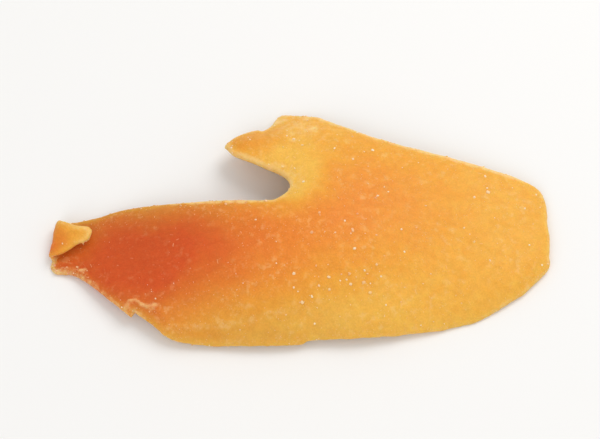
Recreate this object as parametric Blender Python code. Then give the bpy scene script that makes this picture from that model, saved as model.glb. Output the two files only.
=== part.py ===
"""Dried papaya slice, built as one solid in metres with +Z up.

The slice is a knife-cut sheet of candied fruit that domed as it dried. It has a hooked lobe over an open
notch, a torn burr low on its left, and a thin left tip that has rolled up and back over itself, but for a
small toe that tore free and stayed flat. It lies on its rim, outer side up.

The sheet is drawn flat, as an outline filled with triangles, then every point is lifted to the uneven dome
and the tip is rolled. Solidify gives it a flesh that thins towards the cut edge, and a Boolean planes flat
the spots that it rests on.
"""

import math

import bmesh
import bpy
import numpy as np
from mathutils import Vector, noise
from mathutils.geometry import delaunay_2d_cdt

MM = 0.001

# Driving dimensions.
LENGTH = 80 * MM
FLESH_THICKNESS = 2.7 * MM  # well inside the rim
RIM_THICKNESS = 1.1 * MM
TIP_THICKNESS = 0.95 * MM  # of the left tip, which rolls
TAPER = 4.0 * MM  # how far the thinning reaches in from the cut edge
TIP_TAPER = 8.0 * MM  # and from the roll into the body
FOOT_DEPTH = 0.4 * MM  # how much is planed off the lowest spots

# The dome that drying gave the slice: it arches along its length, and curves down to both sides of a crest.
ARCH = 6.4 * MM
ARCH_POWER = 1.3
CREST_LEFT = -7.0 * MM  # sideways place of the crest line at the left end
CREST_RIGHT = -0.5 * MM  # and at the right end
CREST_TURN = (-26 * MM, 8 * MM)  # between these two it crosses over
FRONT_RADIUS = 26 * MM
BACK_RADIUS = 45 * MM
END_CURVE = 0.25  # share of the sideways curve that is left at the ends

# Local warps of the dome, in mm: middle x and y, reach and height.
WARPS_MM = {
    "hook_lifts": (-10, 14.5, 6.0, 1.8),
    "belly_lifts": (9, -20, 6.5, 1.2),
    "belly_sags": (-14, -21, 9.0, -1.6),
    "corner_lifts": (36, 11, 7.0, 0.7),
    "end_lifts": (38, -3, 8.0, 0.6),
}

# Unevenness of the whole sheet, as smooth noise, in mm: its lumps' sizes along x and y, its layer and height.
SWAYS_MM = {
    "broad": (13, 9, 0.3, 0.30),
    "close": (5, 4, 1.3, 0.12),
}

# The roll of the tip, a cone: it starts at a straight line across the sheet, from its foot towards its head.
ROLL_FOOT = Vector((-38.75 * MM, -4.4 * MM))
ROLL_HEAD = Vector((-37.05 * MM, 1.9 * MM))
ROLL_TIGHT = 0.75 * MM  # its radius at the foot
ROLL_LOOSE = 1.30 * MM  # and at the head
ROLL_LOOSENS = (-2 * MM, 6 * MM)  # between these two places up along the line it opens
ROLL_ANGLE = math.radians(175)
TOE = 1.6 * MM  # how far past the line the sheet stays flat in the small toe that has torn free of the roll
TOE_TOP = (-0.3 * MM, 0.3 * MM)  # between these two places up along the line the toe ends

# The cut edge, anticlockwise, in mm. Those of the tip are distances past the roll's line and up along it; the
# others are x and y. The edge runs smoothly through all points, except for a corner where a stretch named in
# CORNERS ends.
TIP_STRETCHES_MM = {
    "over_the_roll": [(1.5, 6.9), (3.0, 6.3)],
    "flap_top": [(5.3, 5.9), (7.9, 6.1)],
    "flap_end": [(8.6, 5.6), (8.4, 4.4), (7.4, 3.3)],
    "flap_low": [(6.7, 3.1), (5.6, 2.3), (4.6, 1.4), (3.0, 0.6)],
    "under_the_roll": [(1.9, 0.3), (0.75, 0.1)],
    "toe": [(0.70, -0.5), (0.50, -1.1), (0.05, -1.65), (-0.65, -1.95)],
}
BODY_STRETCHES_MM = {
    "lower_left": [(-37.4, -6.55), (-35.6, -6.9), (-31.4, -10.1), (-28.1, -13.0), (-26.3, -14.4)],
    "burr": [(-25.7, -13.7)],
    "belly": [(-22.5, -16.1), (-19.7, -18.0), (-13.7, -18.8), (-1.0, -18.8), (2.0, -18.1), (8.4, -17.9)],
    "belly_right": [(16.2, -17.1), (26.9, -14.9)],
    "right_end": [(34.2, -11.0), (39.4, -6.3), (40.2, -3.4), (40.2, 1.5), (40.0, 6.1), (38.6, 8.6)],
    "back": [(33.9, 10.7), (25.9, 13.1), (14.0, 16.2), (5.5, 19.9)],
    "lobe": [(2.9, 21.3), (-0.6, 21.8), (-3.1, 21.8), (-4.6, 19.4)],
    "hook": [(-5.9, 17.9), (-7.1, 18.2), (-10.5, 16.2), (-12.1, 14.6)],
    "notch": [(-10.1, 12.3), (-5.7, 10.1), (-2.2, 8.2), (-1.5, 6.0), (-3.4, 4.2), (-5.2, 3.9)],
    "back_left": [(-9.1, 4.1), (-16.0, 4.4), (-26.4, 4.3), (-32.7, 3.0), (-36.4, 2.5)],
}
CORNERS = ("over_the_roll", "flap_top", "flap_end", "under_the_roll", "lower_left", "burr", "hook")

# Spacing of the sheet's points.
STEP = 1.45 * MM
TIP_STEP = 0.62 * MM  # where it rolls
CLEARANCE = 0.75  # least distance of an inner point from the edge, in steps

NODE = "papaya_slice"
FLESH_COLOUR = (0.86, 0.36, 0.06, 1.0)
FLESH_ROUGHNESS = 0.5


def smoothstep(value, low, high):
    """0 below low, 1 above high, and an S-shaped rise between them."""
    share = min(max((value - low) / (high - low), 0.0), 1.0)
    return share * share * (3 - 2 * share)


def roll_directions():
    """Unit vectors up along the roll's line, and across it, away from the body."""
    along = (ROLL_HEAD - ROLL_FOOT).normalized()
    return along, Vector((-along.y, along.x))


def past_roll(point):
    """How far a point of the flat sheet lies past the roll's line."""
    _, across = roll_directions()
    return (point - ROLL_FOOT).dot(across)


def up_roll(point):
    """How far up along the roll's line a point of the flat sheet lies."""
    along, _ = roll_directions()
    return (point - ROLL_FOOT).dot(along)


def roll_radius(point):
    """The roll's radius at a point of the flat sheet, by how far up along its line the point lies."""
    return ROLL_TIGHT + (ROLL_LOOSE - ROLL_TIGHT) * smoothstep(up_roll(point), *ROLL_LOOSENS)


def rolled(point):
    """How much of the sheet has rolled at a point: what lies past the line, but nothing of the toe."""
    flat = TOE * (1 - smoothstep(up_roll(point), *TOE_TOP))
    return max(past_roll(point) - flat, 0.0)


def from_tip(past_mm, up_mm):
    """The point of the flat sheet at these distances past the roll's line and up along it."""
    along, across = roll_directions()
    return ROLL_FOOT + across * (past_mm * MM) + along * (up_mm * MM)


def smooth_curve(points):
    """A Catmull-Rom curve through the points, without its last point, finer where the sheet rolls."""
    ends = [points[0] * 2 - points[1], *points, points[-1] * 2 - points[-2]]
    curve = []
    for before, start, end, after in zip(ends, ends[1:], ends[2:], ends[3:]):
        step = TIP_STEP if max(past_roll(start), past_roll(end)) > TIP_STEP else STEP
        count = max(1, round((end - start).length / step))
        for k in range(count):
            t = k / count
            linear = (end - before) * t
            square = (2 * before - 5 * start + 4 * end - after) * t**2
            cube = (3 * start - before - 3 * end + after) * t**3
            curve.append(0.5 * (2 * start + linear + square + cube))
    return curve


def outline():
    """The whole cut edge, as a closed ring of points."""
    stretches = {name: [from_tip(*point) for point in points] for name, points in TIP_STRETCHES_MM.items()}
    for name, points in BODY_STRETCHES_MM.items():
        stretches[name] = [Vector(point) * MM for point in points]
    names = list(stretches)
    first_corner = names.index(CORNERS[0])
    names = names[first_corner + 1 :] + names[: first_corner + 1]
    edge = []
    run = [stretches[CORNERS[0]][-1]]
    for name in names:
        run += stretches[name]
        if name in CORNERS:
            edge += smooth_curve(run)
            run = [run[-1]]
    return edge


def inside(edge, x, y):
    """Whether a point lies inside the closed edge, by counting the crossings to its right."""
    x0, y0 = edge.T
    x1, y1 = np.roll(edge, -1, axis=0).T
    spans = (y0 > y) != (y1 > y)
    crossings = x0[spans] + (y - y0[spans]) * (x1[spans] - x0[spans]) / (y1[spans] - y0[spans])
    return (crossings > x).sum() % 2 == 1


def lattice(edge, step, keep):
    """Points of a triangular lattice inside the edge and clear of it, where keep says so."""
    low, high = edge.min(axis=0), edge.max(axis=0)
    found = []
    for row, y in enumerate(np.arange(low[1], high[1], step * math.sqrt(0.75))):
        for x in np.arange(low[0] + (row % 2) * step / 2, high[0], step):
            point = Vector((x, y))
            clear = np.hypot(*(edge - (x, y)).T).min() > CLEARANCE * step
            if clear and keep(point) and inside(edge, x, y):
                found.append(point)
    return found


def flat_sheet():
    """The flat sheet's points and triangles, and the cut edge that bounds it."""
    edge = outline()
    ring = np.array(edge)
    inner = lattice(ring, STEP, lambda point: past_roll(point) < -STEP)
    inner += lattice(ring, TIP_STEP, lambda point: past_roll(point) >= -TIP_STEP)
    points, _, faces, *_ = delaunay_2d_cdt(edge + inner, [], [list(range(len(edge)))], 1, MM * MM)
    return points, faces, ring


def dome_height(point):
    """Height of the middle of the flesh at a point of the sheet, before the tip rolls."""
    x, y = point
    along = min(max(x / LENGTH + 0.5, 0.0), 1.0)
    bow = math.sin(math.pi * along)
    crest = CREST_LEFT + (CREST_RIGHT - CREST_LEFT) * smoothstep(x, *CREST_TURN)
    radius = FRONT_RADIUS if y < crest else BACK_RADIUS
    fall = (y - crest) ** 2 / (2 * radius) * (END_CURVE + (1 - END_CURVE) * bow)
    height = ARCH * bow**ARCH_POWER - fall
    for warp_x, warp_y, reach, lift in WARPS_MM.values():
        distance = math.hypot(x - warp_x * MM, y - warp_y * MM) / (reach * MM)
        height += lift * MM * math.exp(-(distance**2))
    return height


def sway(point):
    """How far the uneven sheet strays from the dome at a point."""
    x, y = point / MM
    height = 0.0
    for wide, deep, layer, high in SWAYS_MM.values():
        height += high * noise.noise((x / wide, y / deep, layer))
    return height * MM


def shaped(point):
    """Where a point of the flat sheet lies once the slice has domed and its tip has rolled."""
    _, across = roll_directions()
    beyond = rolled(point)
    root = point - across * beyond
    radius = roll_radius(point)
    angle = min(beyond / radius, ROLL_ANGLE)
    straight = beyond - angle * radius
    sideways = radius * math.sin(angle) + straight * math.cos(angle)
    upwards = radius * (1 - math.cos(angle)) + straight * math.sin(angle)
    return Vector((*(root + across * sideways), dome_height(root) + upwards + sway(point)))


def flesh(point, rim_distance):
    """The flesh's thickness at a point of the flat sheet."""
    body = RIM_THICKNESS + (FLESH_THICKNESS - RIM_THICKNESS) * smoothstep(rim_distance, 0.0, TAPER)
    return body + (TIP_THICKNESS - body) * smoothstep(past_roll(point), -TIP_TAPER, 0.0)


def turn_outer_side_up(mesh):
    """Turns the sheet's faces so that those of the body look up."""
    shape = bmesh.new()
    shape.from_mesh(mesh)
    bmesh.ops.recalc_face_normals(shape, faces=shape.faces)
    body = [face for face in shape.faces if face.calc_center_median().x > 0]
    if sum(face.normal.z for face in body) < 0:
        bmesh.ops.reverse_faces(shape, faces=shape.faces)
    shape.to_mesh(mesh)
    shape.free()


def slice_object():
    """The slice: the shaped sheet, with Solidify for its flesh."""
    points, faces, edge = flat_sheet()
    mesh = bpy.data.meshes.new(NODE)
    mesh.from_pydata([shaped(point) for point in points], [], faces)
    turn_outer_side_up(mesh)
    piece = bpy.data.objects.new(NODE, mesh)
    bpy.context.scene.collection.objects.link(piece)
    group = piece.vertex_groups.new(name="flesh")
    for index, point in enumerate(points):
        rim_distance = np.hypot(*(edge - point).T).min()
        group.add([index], flesh(point, rim_distance) / FLESH_THICKNESS, "REPLACE")
    solidify = piece.modifiers.new("Flesh", "SOLIDIFY")
    solidify.thickness = FLESH_THICKNESS
    solidify.offset = 0
    solidify.vertex_group = group.name
    return piece


def set_on_floor(piece):
    """Centres the slice on the origin, with its lowest spot FOOT_DEPTH under the floor."""
    evaluated = piece.evaluated_get(bpy.context.evaluated_depsgraph_get())
    mesh = evaluated.to_mesh()
    corners = np.array([vertex.co for vertex in mesh.vertices])
    evaluated.to_mesh_clear()
    low, high = corners.min(axis=0), corners.max(axis=0)
    shift = Vector(-(low + high) / 2)
    shift.z = -low[2] - FOOT_DEPTH
    for vertex in piece.data.vertices:
        vertex.co += shift


def plane_feet(piece):
    """Cuts off what reaches under the floor, with a slab whose top face is the floor."""
    shape = bmesh.new()
    bmesh.ops.create_cube(shape, size=2 * LENGTH)
    bmesh.ops.translate(shape, vec=(0, 0, -LENGTH), verts=shape.verts)
    mesh = bpy.data.meshes.new("floor_cutter")
    shape.to_mesh(mesh)
    shape.free()
    cutter = bpy.data.objects.new("floor_cutter", mesh)
    bpy.context.scene.collection.objects.link(cutter)
    cutter.hide_render = True
    cutter.display_type = "WIRE"
    cut = piece.modifiers.new("Feet", "BOOLEAN")
    cut.operation = "DIFFERENCE"
    cut.object = cutter


def flesh_material():
    """Candied papaya flesh: orange, half matt."""
    material = bpy.data.materials.new("papaya_flesh")
    material.use_nodes = True
    shader = material.node_tree.nodes["Principled BSDF"]
    shader.inputs["Base Color"].default_value = FLESH_COLOUR
    shader.inputs["Roughness"].default_value = FLESH_ROUGHNESS
    shader.inputs["Metallic"].default_value = 0.0
    return material


def main():
    for leftover in list(bpy.data.objects):
        bpy.data.objects.remove(leftover)
    piece = slice_object()
    piece.data.materials.append(flesh_material())
    piece.data.shade_smooth()
    set_on_floor(piece)
    plane_feet(piece)


main()
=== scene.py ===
"""Looks of a dried papaya slice: its fine flesh, sugar, fibres and crumbs, and a plain studio around it.

The slice was a flat sheet before it domed as it dried. All shapes start on that sheet, in millimetres, and
are then carried over to the frame, in metres. SliceForm says where each point of the sheet lies on the
slice, PapayaSlice makes the mesh, and each kind of Scatter sets one kind of small thing on it.
"""

import logging
import math
from collections.abc import Sequence
from dataclasses import dataclass, field
from enum import Enum

import bmesh
import bpy
import numpy as np
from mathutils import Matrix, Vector, noise
from mathutils.geometry import delaunay_2d_cdt


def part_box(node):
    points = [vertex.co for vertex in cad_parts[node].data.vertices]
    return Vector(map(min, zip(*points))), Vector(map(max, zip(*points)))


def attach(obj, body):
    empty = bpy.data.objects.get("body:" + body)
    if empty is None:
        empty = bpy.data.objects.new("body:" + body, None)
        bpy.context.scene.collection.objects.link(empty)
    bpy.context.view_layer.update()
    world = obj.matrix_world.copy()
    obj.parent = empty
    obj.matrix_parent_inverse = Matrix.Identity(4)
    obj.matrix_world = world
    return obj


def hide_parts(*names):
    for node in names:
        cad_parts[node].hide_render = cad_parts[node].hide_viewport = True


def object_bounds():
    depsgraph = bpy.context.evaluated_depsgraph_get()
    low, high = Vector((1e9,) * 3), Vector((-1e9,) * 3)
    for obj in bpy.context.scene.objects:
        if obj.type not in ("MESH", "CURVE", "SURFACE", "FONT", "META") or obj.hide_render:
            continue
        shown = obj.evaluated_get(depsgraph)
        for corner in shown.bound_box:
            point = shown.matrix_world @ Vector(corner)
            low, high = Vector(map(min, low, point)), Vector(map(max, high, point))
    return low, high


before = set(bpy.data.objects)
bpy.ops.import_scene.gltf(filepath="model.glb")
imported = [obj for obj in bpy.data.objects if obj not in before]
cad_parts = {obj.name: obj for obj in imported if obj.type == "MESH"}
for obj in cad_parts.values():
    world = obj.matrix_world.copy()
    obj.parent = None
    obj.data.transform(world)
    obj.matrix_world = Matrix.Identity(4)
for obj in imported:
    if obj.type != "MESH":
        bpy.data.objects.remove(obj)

CAD_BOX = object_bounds()
NODE = "papaya_slice"
BODY = "root"
MM = 0.001

# What a piece stores at each point for its finish: the place on the sheet and how far in from the cut edge
# it is, both in mm, and how frosted with sugar it is, from 0 to 1.
SHEET = "sheet_mm"
RIM = "rim_mm"
FROST = "frost"

MIX_FACTOR, MIX_FIRST, MIX_SECOND, MIX_RESULT = 0, 6, 7, 2  # sockets of a Mix node that mixes colours
NOISE_MIDDLE = 0.5  # of noise in a node tree, which runs from about 0 to 1
CDT_INSIDE, CDT_NEAR = 1, 1e-5  # triangles fill the loop only, and points this near are one
TRIANGLE_HEIGHT = math.sqrt(0.75)  # of a triangle whose sides are 1
UNIT_RADIUS = 0.5  # of a small shape that is 1 across

LOG = logging.getLogger("papaya")

Spot = tuple[float, float]  # a place on the flat sheet, or sizes along its two axes, in mm
Span = tuple[float, float]  # from one value to another
Triple = tuple[float, float, float]
Colour = tuple[float, float, float, float]
Stops = tuple[tuple[float, Colour], ...]  # places from 0 to 1 with their colours
Faces = list[list[int]]
Shape = tuple[np.ndarray, Faces]  # vertices and faces
Box = tuple[Vector, Vector]  # the lowest corner and the highest
Tree = bpy.types.NodeTree
Socket = bpy.types.NodeSocket
Outputs = bpy.types.bpy_prop_collection
Value = Socket | float | Sequence[float]
Inputs = dict[str | int, Value]

HEART: tuple[Spot, Spot] = ((-21.0, -4.0), (17.0, 9.5))  # middle and reach of the part almost bare of sugar


class Side(Enum):
    """The two faces of the sheet of flesh: which way each looks, and where its layers of noise start."""

    OUTER = (1, 20.0)
    UNDER = (-1, 60.0)

    def __init__(self, way: int, layer: float) -> None:
        """Names a face's two numbers: 1 or -1 for the way that it looks, and its first layer of noise."""
        self.way = way
        self.layer = layer


class Cut(Enum):
    """How a stretch of the edge came about."""

    KNIFE = "cut clean"
    TORN = "torn"


class Blend(Enum):
    """How a second colour is laid over a first."""

    COVER = "MIX"
    TINT = "MULTIPLY"


# ---------------------------------------------------------------------------------------------------------
# Small maths
# ---------------------------------------------------------------------------------------------------------


def smoothstep(value: np.ndarray, low: float, high: float) -> np.ndarray:
    """Values taken over an S that rises from 0 at low to 1 at high."""
    share = np.clip((np.asarray(value, float) - low) / (high - low), 0.0, 1.0)
    return share * share * (3 - 2 * share)


@dataclass(frozen=True)
class Ripple:
    """Smooth unevenness over the flat sheet: its lumps' size and height, and its layer of noise."""

    cell: Spot
    height: float
    layer: float

    def at(self, points: np.ndarray, layer: float = 0.0) -> np.ndarray:
        """The unevenness at flat points, either side of 0, with its noise read so many layers further."""
        scaled = points / np.asarray(self.cell, float)
        return self.height * np.array([noise.noise(Vector((x, y, self.layer + layer))) for x, y in scaled])


def distance_to_line(points: np.ndarray, line: np.ndarray) -> tuple[np.ndarray, np.ndarray]:
    """How far points lie from an open line of several stretches, and on which side.

    Args:
        points: Flat points, one in each row.
        line: The line's own points.

    Returns:
        The distance of each point, and the signed distance, positive to the left of the line.
    """
    best = np.full(len(points), np.inf)
    signed = np.zeros(len(points))
    for start, end in zip(line, line[1:]):
        run = end - start
        share = np.clip((points - start) @ run / (run @ run), 0.0, 1.0)
        away = points - (start + share[:, None] * run)
        distance = np.hypot(*away.T)
        left = np.sign(run[0] * away[:, 1] - run[1] * away[:, 0])
        closer = distance < best
        best = np.where(closer, distance, best)
        signed = np.where(closer, left * distance, signed)
    return best, signed


def in_chunks(points: np.ndarray, most: int = 1500) -> list[np.ndarray]:
    """Flat points in parts, each small enough to be compared with the whole edge at once."""
    return np.array_split(points, max(1, len(points) // most))


def outward(ring: np.ndarray) -> np.ndarray:
    """Unit vectors that point out of an anticlockwise ring.

    Args:
        ring: The ring's flat points.

    Returns:
        One vector for each point.
    """
    run = np.roll(ring, -1, axis=0) - np.roll(ring, 1, axis=0)
    run /= np.hypot(*run.T)[:, None]
    return np.column_stack([run[:, 1], -run[:, 0]])


# ---------------------------------------------------------------------------------------------------------
# The form of the slice, in mm on the flat sheet
# ---------------------------------------------------------------------------------------------------------


@dataclass(frozen=True)
class TipRoll:
    """The thin left tip, which has rolled up and back over the body.

    Past a straight line the sheet follows a cone, tight at its foot and loose at its head, and then lies
    back straight. Under its foot a small toe has torn free, and stays flat.
    """

    foot: Spot = (-38.75, -4.4)
    head: Spot = (-37.05, 1.9)
    tight: float = 0.75  # its radius at the foot
    loose: float = 1.30  # and at the head
    loosens: Span = (-2.0, 6.0)  # between these two places up along the line
    angle: float = math.radians(175)  # how far round it goes
    toe: float = 1.6  # how far past the line the toe stays flat
    toe_top: Span = (-0.3, 0.3)  # between these two places up along the line the toe ends

    def directions(self) -> tuple[np.ndarray, np.ndarray]:
        """Unit vectors up along the roll's line and across it.

        Returns:
            The vector from the foot to the head, and the one away from the body.
        """
        along = np.subtract(self.head, self.foot)
        along = along / np.hypot(*along)
        return along, np.array([-along[1], along[0]])

    def past(self, points: np.ndarray) -> np.ndarray:
        """How far flat points lie past the roll's line."""
        return (points - np.array(self.foot)) @ self.directions()[1]

    def up(self, points: np.ndarray) -> np.ndarray:
        """How far up along the roll's line flat points lie."""
        return (points - np.array(self.foot)) @ self.directions()[0]

    def radius(self, points: np.ndarray) -> np.ndarray:
        """The roll's radius at flat points."""
        return self.tight + (self.loose - self.tight) * smoothstep(self.up(points), *self.loosens)

    def rolled(self, points: np.ndarray) -> np.ndarray:
        """How much of the sheet has rolled at flat points: what lies past the line, but not the toe."""
        flat = self.toe * (1 - smoothstep(self.up(points), *self.toe_top))
        return np.maximum(self.past(points) - flat, 0.0)

    def from_tip(self, places: Sequence[Spot]) -> np.ndarray:
        """Finds flat points by where they lie on the tip.

        Args:
            places: Distances past the roll's line and up along it.

        Returns:
            The flat points in mm.
        """
        along, across = self.directions()
        past, up = np.array(places, float).T
        return np.array(self.foot) + past[:, None] * across + up[:, None] * along


@dataclass(frozen=True)
class Warp:
    """A soft hump of the dome, or a hollow where its lift is negative."""

    at: Spot
    reach: float
    lift: float

    def height(self, points: np.ndarray) -> np.ndarray:
        """Heights that the warp adds at flat points, in mm."""
        away = points - np.array(self.at)
        return self.lift * np.exp(-(away**2).sum(axis=1) / self.reach**2)


@dataclass(frozen=True)
class Dome:
    """How the slice bowed as it dried: an arch along it, and sides that curve down from a crest line."""

    length: float = 80.0
    arch: float = 6.4  # its height in the middle
    arch_power: float = 1.3  # over 1, its ends run out flatter
    crest_left: float = -7.0  # the crest line's y at its left end
    crest_right: float = -0.5  # and at its right end
    crest_turn: Span = (-26.0, 8.0)  # it moves back between these two places along the slice
    front_radius: float = 26.0  # of the curve down in front of the crest line
    back_radius: float = 45.0  # and of the one behind it
    end_curve: float = 0.25  # the share of both curves that is left at the slice's ends
    hook_lifts: Warp = Warp((-10.0, 14.5), 6.0, 1.8)
    belly_lifts: Warp = Warp((9.0, -20.0), 6.5, 1.2)
    belly_sags: Warp = Warp((-14.0, -21.0), 9.0, -1.6)
    corner_lifts: Warp = Warp((36.0, 11.0), 7.0, 0.7)
    end_lifts: Warp = Warp((38.0, -3.0), 8.0, 0.6)

    def height(self, points: np.ndarray) -> np.ndarray:
        """Heights of the middle of the flesh over flat points, before the tip rolls.

        Args:
            points: Flat points in mm.

        Returns:
            Heights in mm.
        """
        x, y = points.T
        bow = np.sin(math.pi * np.clip(x / self.length + 0.5, 0.0, 1.0))
        crest = self.crest_left + (self.crest_right - self.crest_left) * smoothstep(x, *self.crest_turn)
        radius = np.where(y < crest, self.front_radius, self.back_radius)
        fall = (y - crest) ** 2 / (2 * radius) * (self.end_curve + (1 - self.end_curve) * bow)
        height = self.arch * bow**self.arch_power - fall
        for warp in (self.hook_lifts, self.belly_lifts, self.belly_sags, self.corner_lifts, self.end_lifts):
            height += warp.height(points)
        return height


@dataclass(frozen=True)
class Stretch:
    """A stretch of the cut edge: the points that it runs through, and how frosted with sugar it is.

    Its points are x and y, or on the tip, distances past the roll's line and up along it.
    """

    points: tuple[Spot, ...]
    frost: float
    cut: Cut = Cut.KNIFE
    on_tip: bool = False
    corner: bool = False

    def flat(self, roll: TipRoll) -> np.ndarray:
        """The stretch's flat points in mm."""
        return roll.from_tip(self.points) if self.on_tip else np.array(self.points, float)


@dataclass(frozen=True)
class CutEdge:
    """The slice's outline on the flat sheet, anticlockwise, with its nicks and tears.

    The edge runs smoothly through all points, except for a corner where a stretch with a corner ends.
    """

    over_the_roll: Stretch = Stretch(((1.5, 6.9), (3.0, 6.3)), 0.90, on_tip=True, corner=True)
    flap_top: Stretch = Stretch(((5.3, 5.9), (7.9, 6.1)), 0.95, Cut.TORN, on_tip=True, corner=True)
    flap_end: Stretch = Stretch(
        ((8.6, 5.6), (8.4, 4.4), (7.4, 3.3)), 1.0, Cut.TORN, on_tip=True, corner=True
    )
    flap_low: Stretch = Stretch(
        ((6.7, 3.1), (5.6, 2.3), (4.6, 1.4), (3.0, 0.6)), 0.35, Cut.TORN, on_tip=True
    )
    under_the_roll: Stretch = Stretch(((1.9, 0.3), (0.75, 0.1)), 0.50, on_tip=True, corner=True)
    toe: Stretch = Stretch(
        ((0.7, -0.5), (0.5, -1.1), (0.05, -1.65), (-0.65, -1.95)), 0.80, Cut.TORN, on_tip=True
    )
    lower_left: Stretch = Stretch(
        ((-37.4, -6.55), (-35.6, -6.9), (-31.4, -10.1), (-28.1, -13.0), (-26.3, -14.4)),
        0.45,
        Cut.TORN,
        corner=True,
    )
    burr: Stretch = Stretch(((-25.7, -13.7),), 0.60, Cut.TORN, corner=True)
    belly: Stretch = Stretch(
        ((-22.5, -16.1), (-19.7, -18.0), (-13.7, -18.8), (-1.0, -18.8), (2.0, -18.1), (8.4, -17.9)), 0.12
    )
    belly_right: Stretch = Stretch(((16.2, -17.1), (26.9, -14.9)), 0.30)
    # its frost is partly sugar and partly a painted glow of the thin end's edge
    right_end: Stretch = Stretch(
        ((34.2, -11.0), (39.4, -6.3), (40.2, -3.4), (40.2, 1.5), (40.0, 6.1), (38.6, 8.6)), 0.42
    )
    back: Stretch = Stretch(((33.9, 10.7), (25.9, 13.1), (14.0, 16.2), (5.5, 19.9)), 1.0)
    lobe: Stretch = Stretch(((2.9, 21.3), (-0.6, 21.8), (-3.1, 21.8), (-4.6, 19.4)), 0.90, Cut.TORN)
    hook: Stretch = Stretch(
        ((-5.9, 17.9), (-7.1, 18.2), (-10.5, 16.2), (-12.1, 14.6)), 0.60, Cut.TORN, corner=True
    )
    notch: Stretch = Stretch(
        ((-10.1, 12.3), (-5.7, 10.1), (-2.2, 8.2), (-1.5, 6.0), (-3.4, 4.2), (-5.2, 3.9)), 0.65
    )
    back_left: Stretch = Stretch(((-9.1, 4.1), (-16.0, 4.4)), 0.90)
    shoulder: Stretch = Stretch(((-26.4, 4.3), (-32.7, 3.0), (-36.4, 2.5)), 0.12)
    step: float = 0.30  # how far apart the ring's points lie
    nick: float = 0.055  # about how deep the nicks of a clean cut are
    tear: float = 0.13  # and those of a tear
    nicks: tuple[Ripple, ...] = (Ripple((2.3, 2.3), 1.0, 3.7), Ripple((0.8, 0.8), 0.5, 9.1))
    frost_fall: int = 3  # how fast a stretch's frost counts for less further off
    frost_soft: float = 0.5  # and how softly that starts

    def stretches(self) -> list[Stretch]:
        """All stretches, in their order round the slice."""
        return [own for own in vars(self).values() if isinstance(own, Stretch)]

    def smooth_curve(self, points: np.ndarray) -> np.ndarray:
        """Draws a Catmull-Rom curve.

        Args:
            points: The flat points that it runs through.

        Returns:
            The curve's points, a step apart, without the last one.
        """
        ends = np.vstack([2 * points[0] - points[1], points, 2 * points[-1] - points[-2]])
        curve = []
        for before, start, end, after in zip(ends, ends[1:], ends[2:], ends[3:]):
            count = max(1, round(float(np.hypot(*(end - start))) / self.step))
            t = (np.arange(count) / count)[:, None]
            linear = (end - before) * t
            square = (2 * before - 5 * start + 4 * end - after) * t**2
            cube = (3 * start - before - 3 * end + after) * t**3
            curve.append(0.5 * (2 * start + linear + square + cube))
        return np.vstack(curve)

    def frost(self, points: np.ndarray, roll: TipRoll) -> np.ndarray:
        """How frosted with sugar the stretches of edge nearest to flat points are.

        Args:
            points: Flat points in mm.
            roll: The roll that the tip's stretches are placed by.

        Returns:
            Shares from 0 to 1.
        """
        placed = [(own.flat(roll), own.frost) for own in self.stretches()]
        anchors = np.vstack([spots for spots, _ in placed])
        shares = np.concatenate([np.full(len(spots), frost) for spots, frost in placed])
        away = np.linalg.norm(points[:, None] - anchors[None], axis=2)
        weights = 1 / (away**self.frost_fall + self.frost_soft)
        return (weights * shares).sum(axis=1) / weights.sum(axis=1)

    def ring(self, roll: TipRoll) -> np.ndarray:
        """The closed ring of edge points, with nicks, and deeper tears where it tore.

        Args:
            roll: The roll that the tip's stretches are placed by.

        Returns:
            The ring's flat points in mm.
        """
        stretches = self.stretches()
        first = next(k for k, own in enumerate(stretches) if own.corner)
        run, torn = [stretches[first].flat(roll)[-1:]], False
        rings, depths = [], []
        for own in stretches[first + 1 :] + stretches[: first + 1]:
            run.append(own.flat(roll))
            torn = torn or own.cut is Cut.TORN
            if own.corner:
                rings.append(self.smooth_curve(np.vstack(run)))
                depths.append(np.full(len(rings[-1]), self.tear if torn else self.nick))
                run, torn = [run[-1][-1:]], False
        ring, depth = np.vstack(rings), np.concatenate(depths)
        nicks = sum(ripple.at(ring) for ripple in self.nicks)
        return ring + (depth * nicks)[:, None] * outward(ring)


@dataclass(frozen=True)
class Crease:
    """A raised line on the outer face, steep to its left and long to its right, that fades at its end."""

    line: tuple[Spot, ...]
    height: float
    steep: float  # how wide it is to its left
    long: float  # and to its right
    frost: float
    wander_x: Ripple = Ripple((2.1, 2.1), 0.30, 71.0)
    wander_y: Ripple = Ripple((2.1, 2.1), 0.30, 72.0)
    swell: Ripple = Ripple((1.1, 1.1), 0.5, 73.0)
    fades: Span = (1.05, 0.55)  # the shares of its length where it has gone, and where it is still whole
    frost_power: float = 1.5  # over 1, the frost keeps to the crest

    def relief(self, points: np.ndarray) -> np.ndarray:
        """Heights that the crease adds.

        Args:
            points: Flat points in mm.

        Returns:
            Heights in mm.
        """
        line = np.array(self.line, float)
        swayed = points + np.column_stack([self.wander_x.at(points), self.wander_y.at(points)])
        distance, signed = distance_to_line(swayed, line)
        run = line[-1] - line[0]
        along = (points - line[0]) @ run / (run @ run)
        faded = smoothstep(along, *self.fades) * (1 + self.swell.at(points))
        width = np.where(signed > 0, self.steep, self.long)
        return self.height * faded * np.exp(-((distance / width) ** 2))

    def whitened(self, points: np.ndarray) -> np.ndarray:
        """How frosted the crease's crest is at flat points, from 0 to its frost."""
        crest = np.clip(self.relief(points) / self.height, 0.0, 1.0)
        return self.frost * crest**self.frost_power


@dataclass(frozen=True)
class Cluster:
    """A soft oval patch of the sheet where something gathers."""

    at: Spot
    reach: Spot
    share: float

    def weight(self, points: np.ndarray) -> np.ndarray:
        """The share at flat points: whole in the middle, and fading out at the reach."""
        away = (points - np.array(self.at)) / np.array(self.reach)
        return self.share * np.exp(-(away**2).sum(axis=1))


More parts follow.
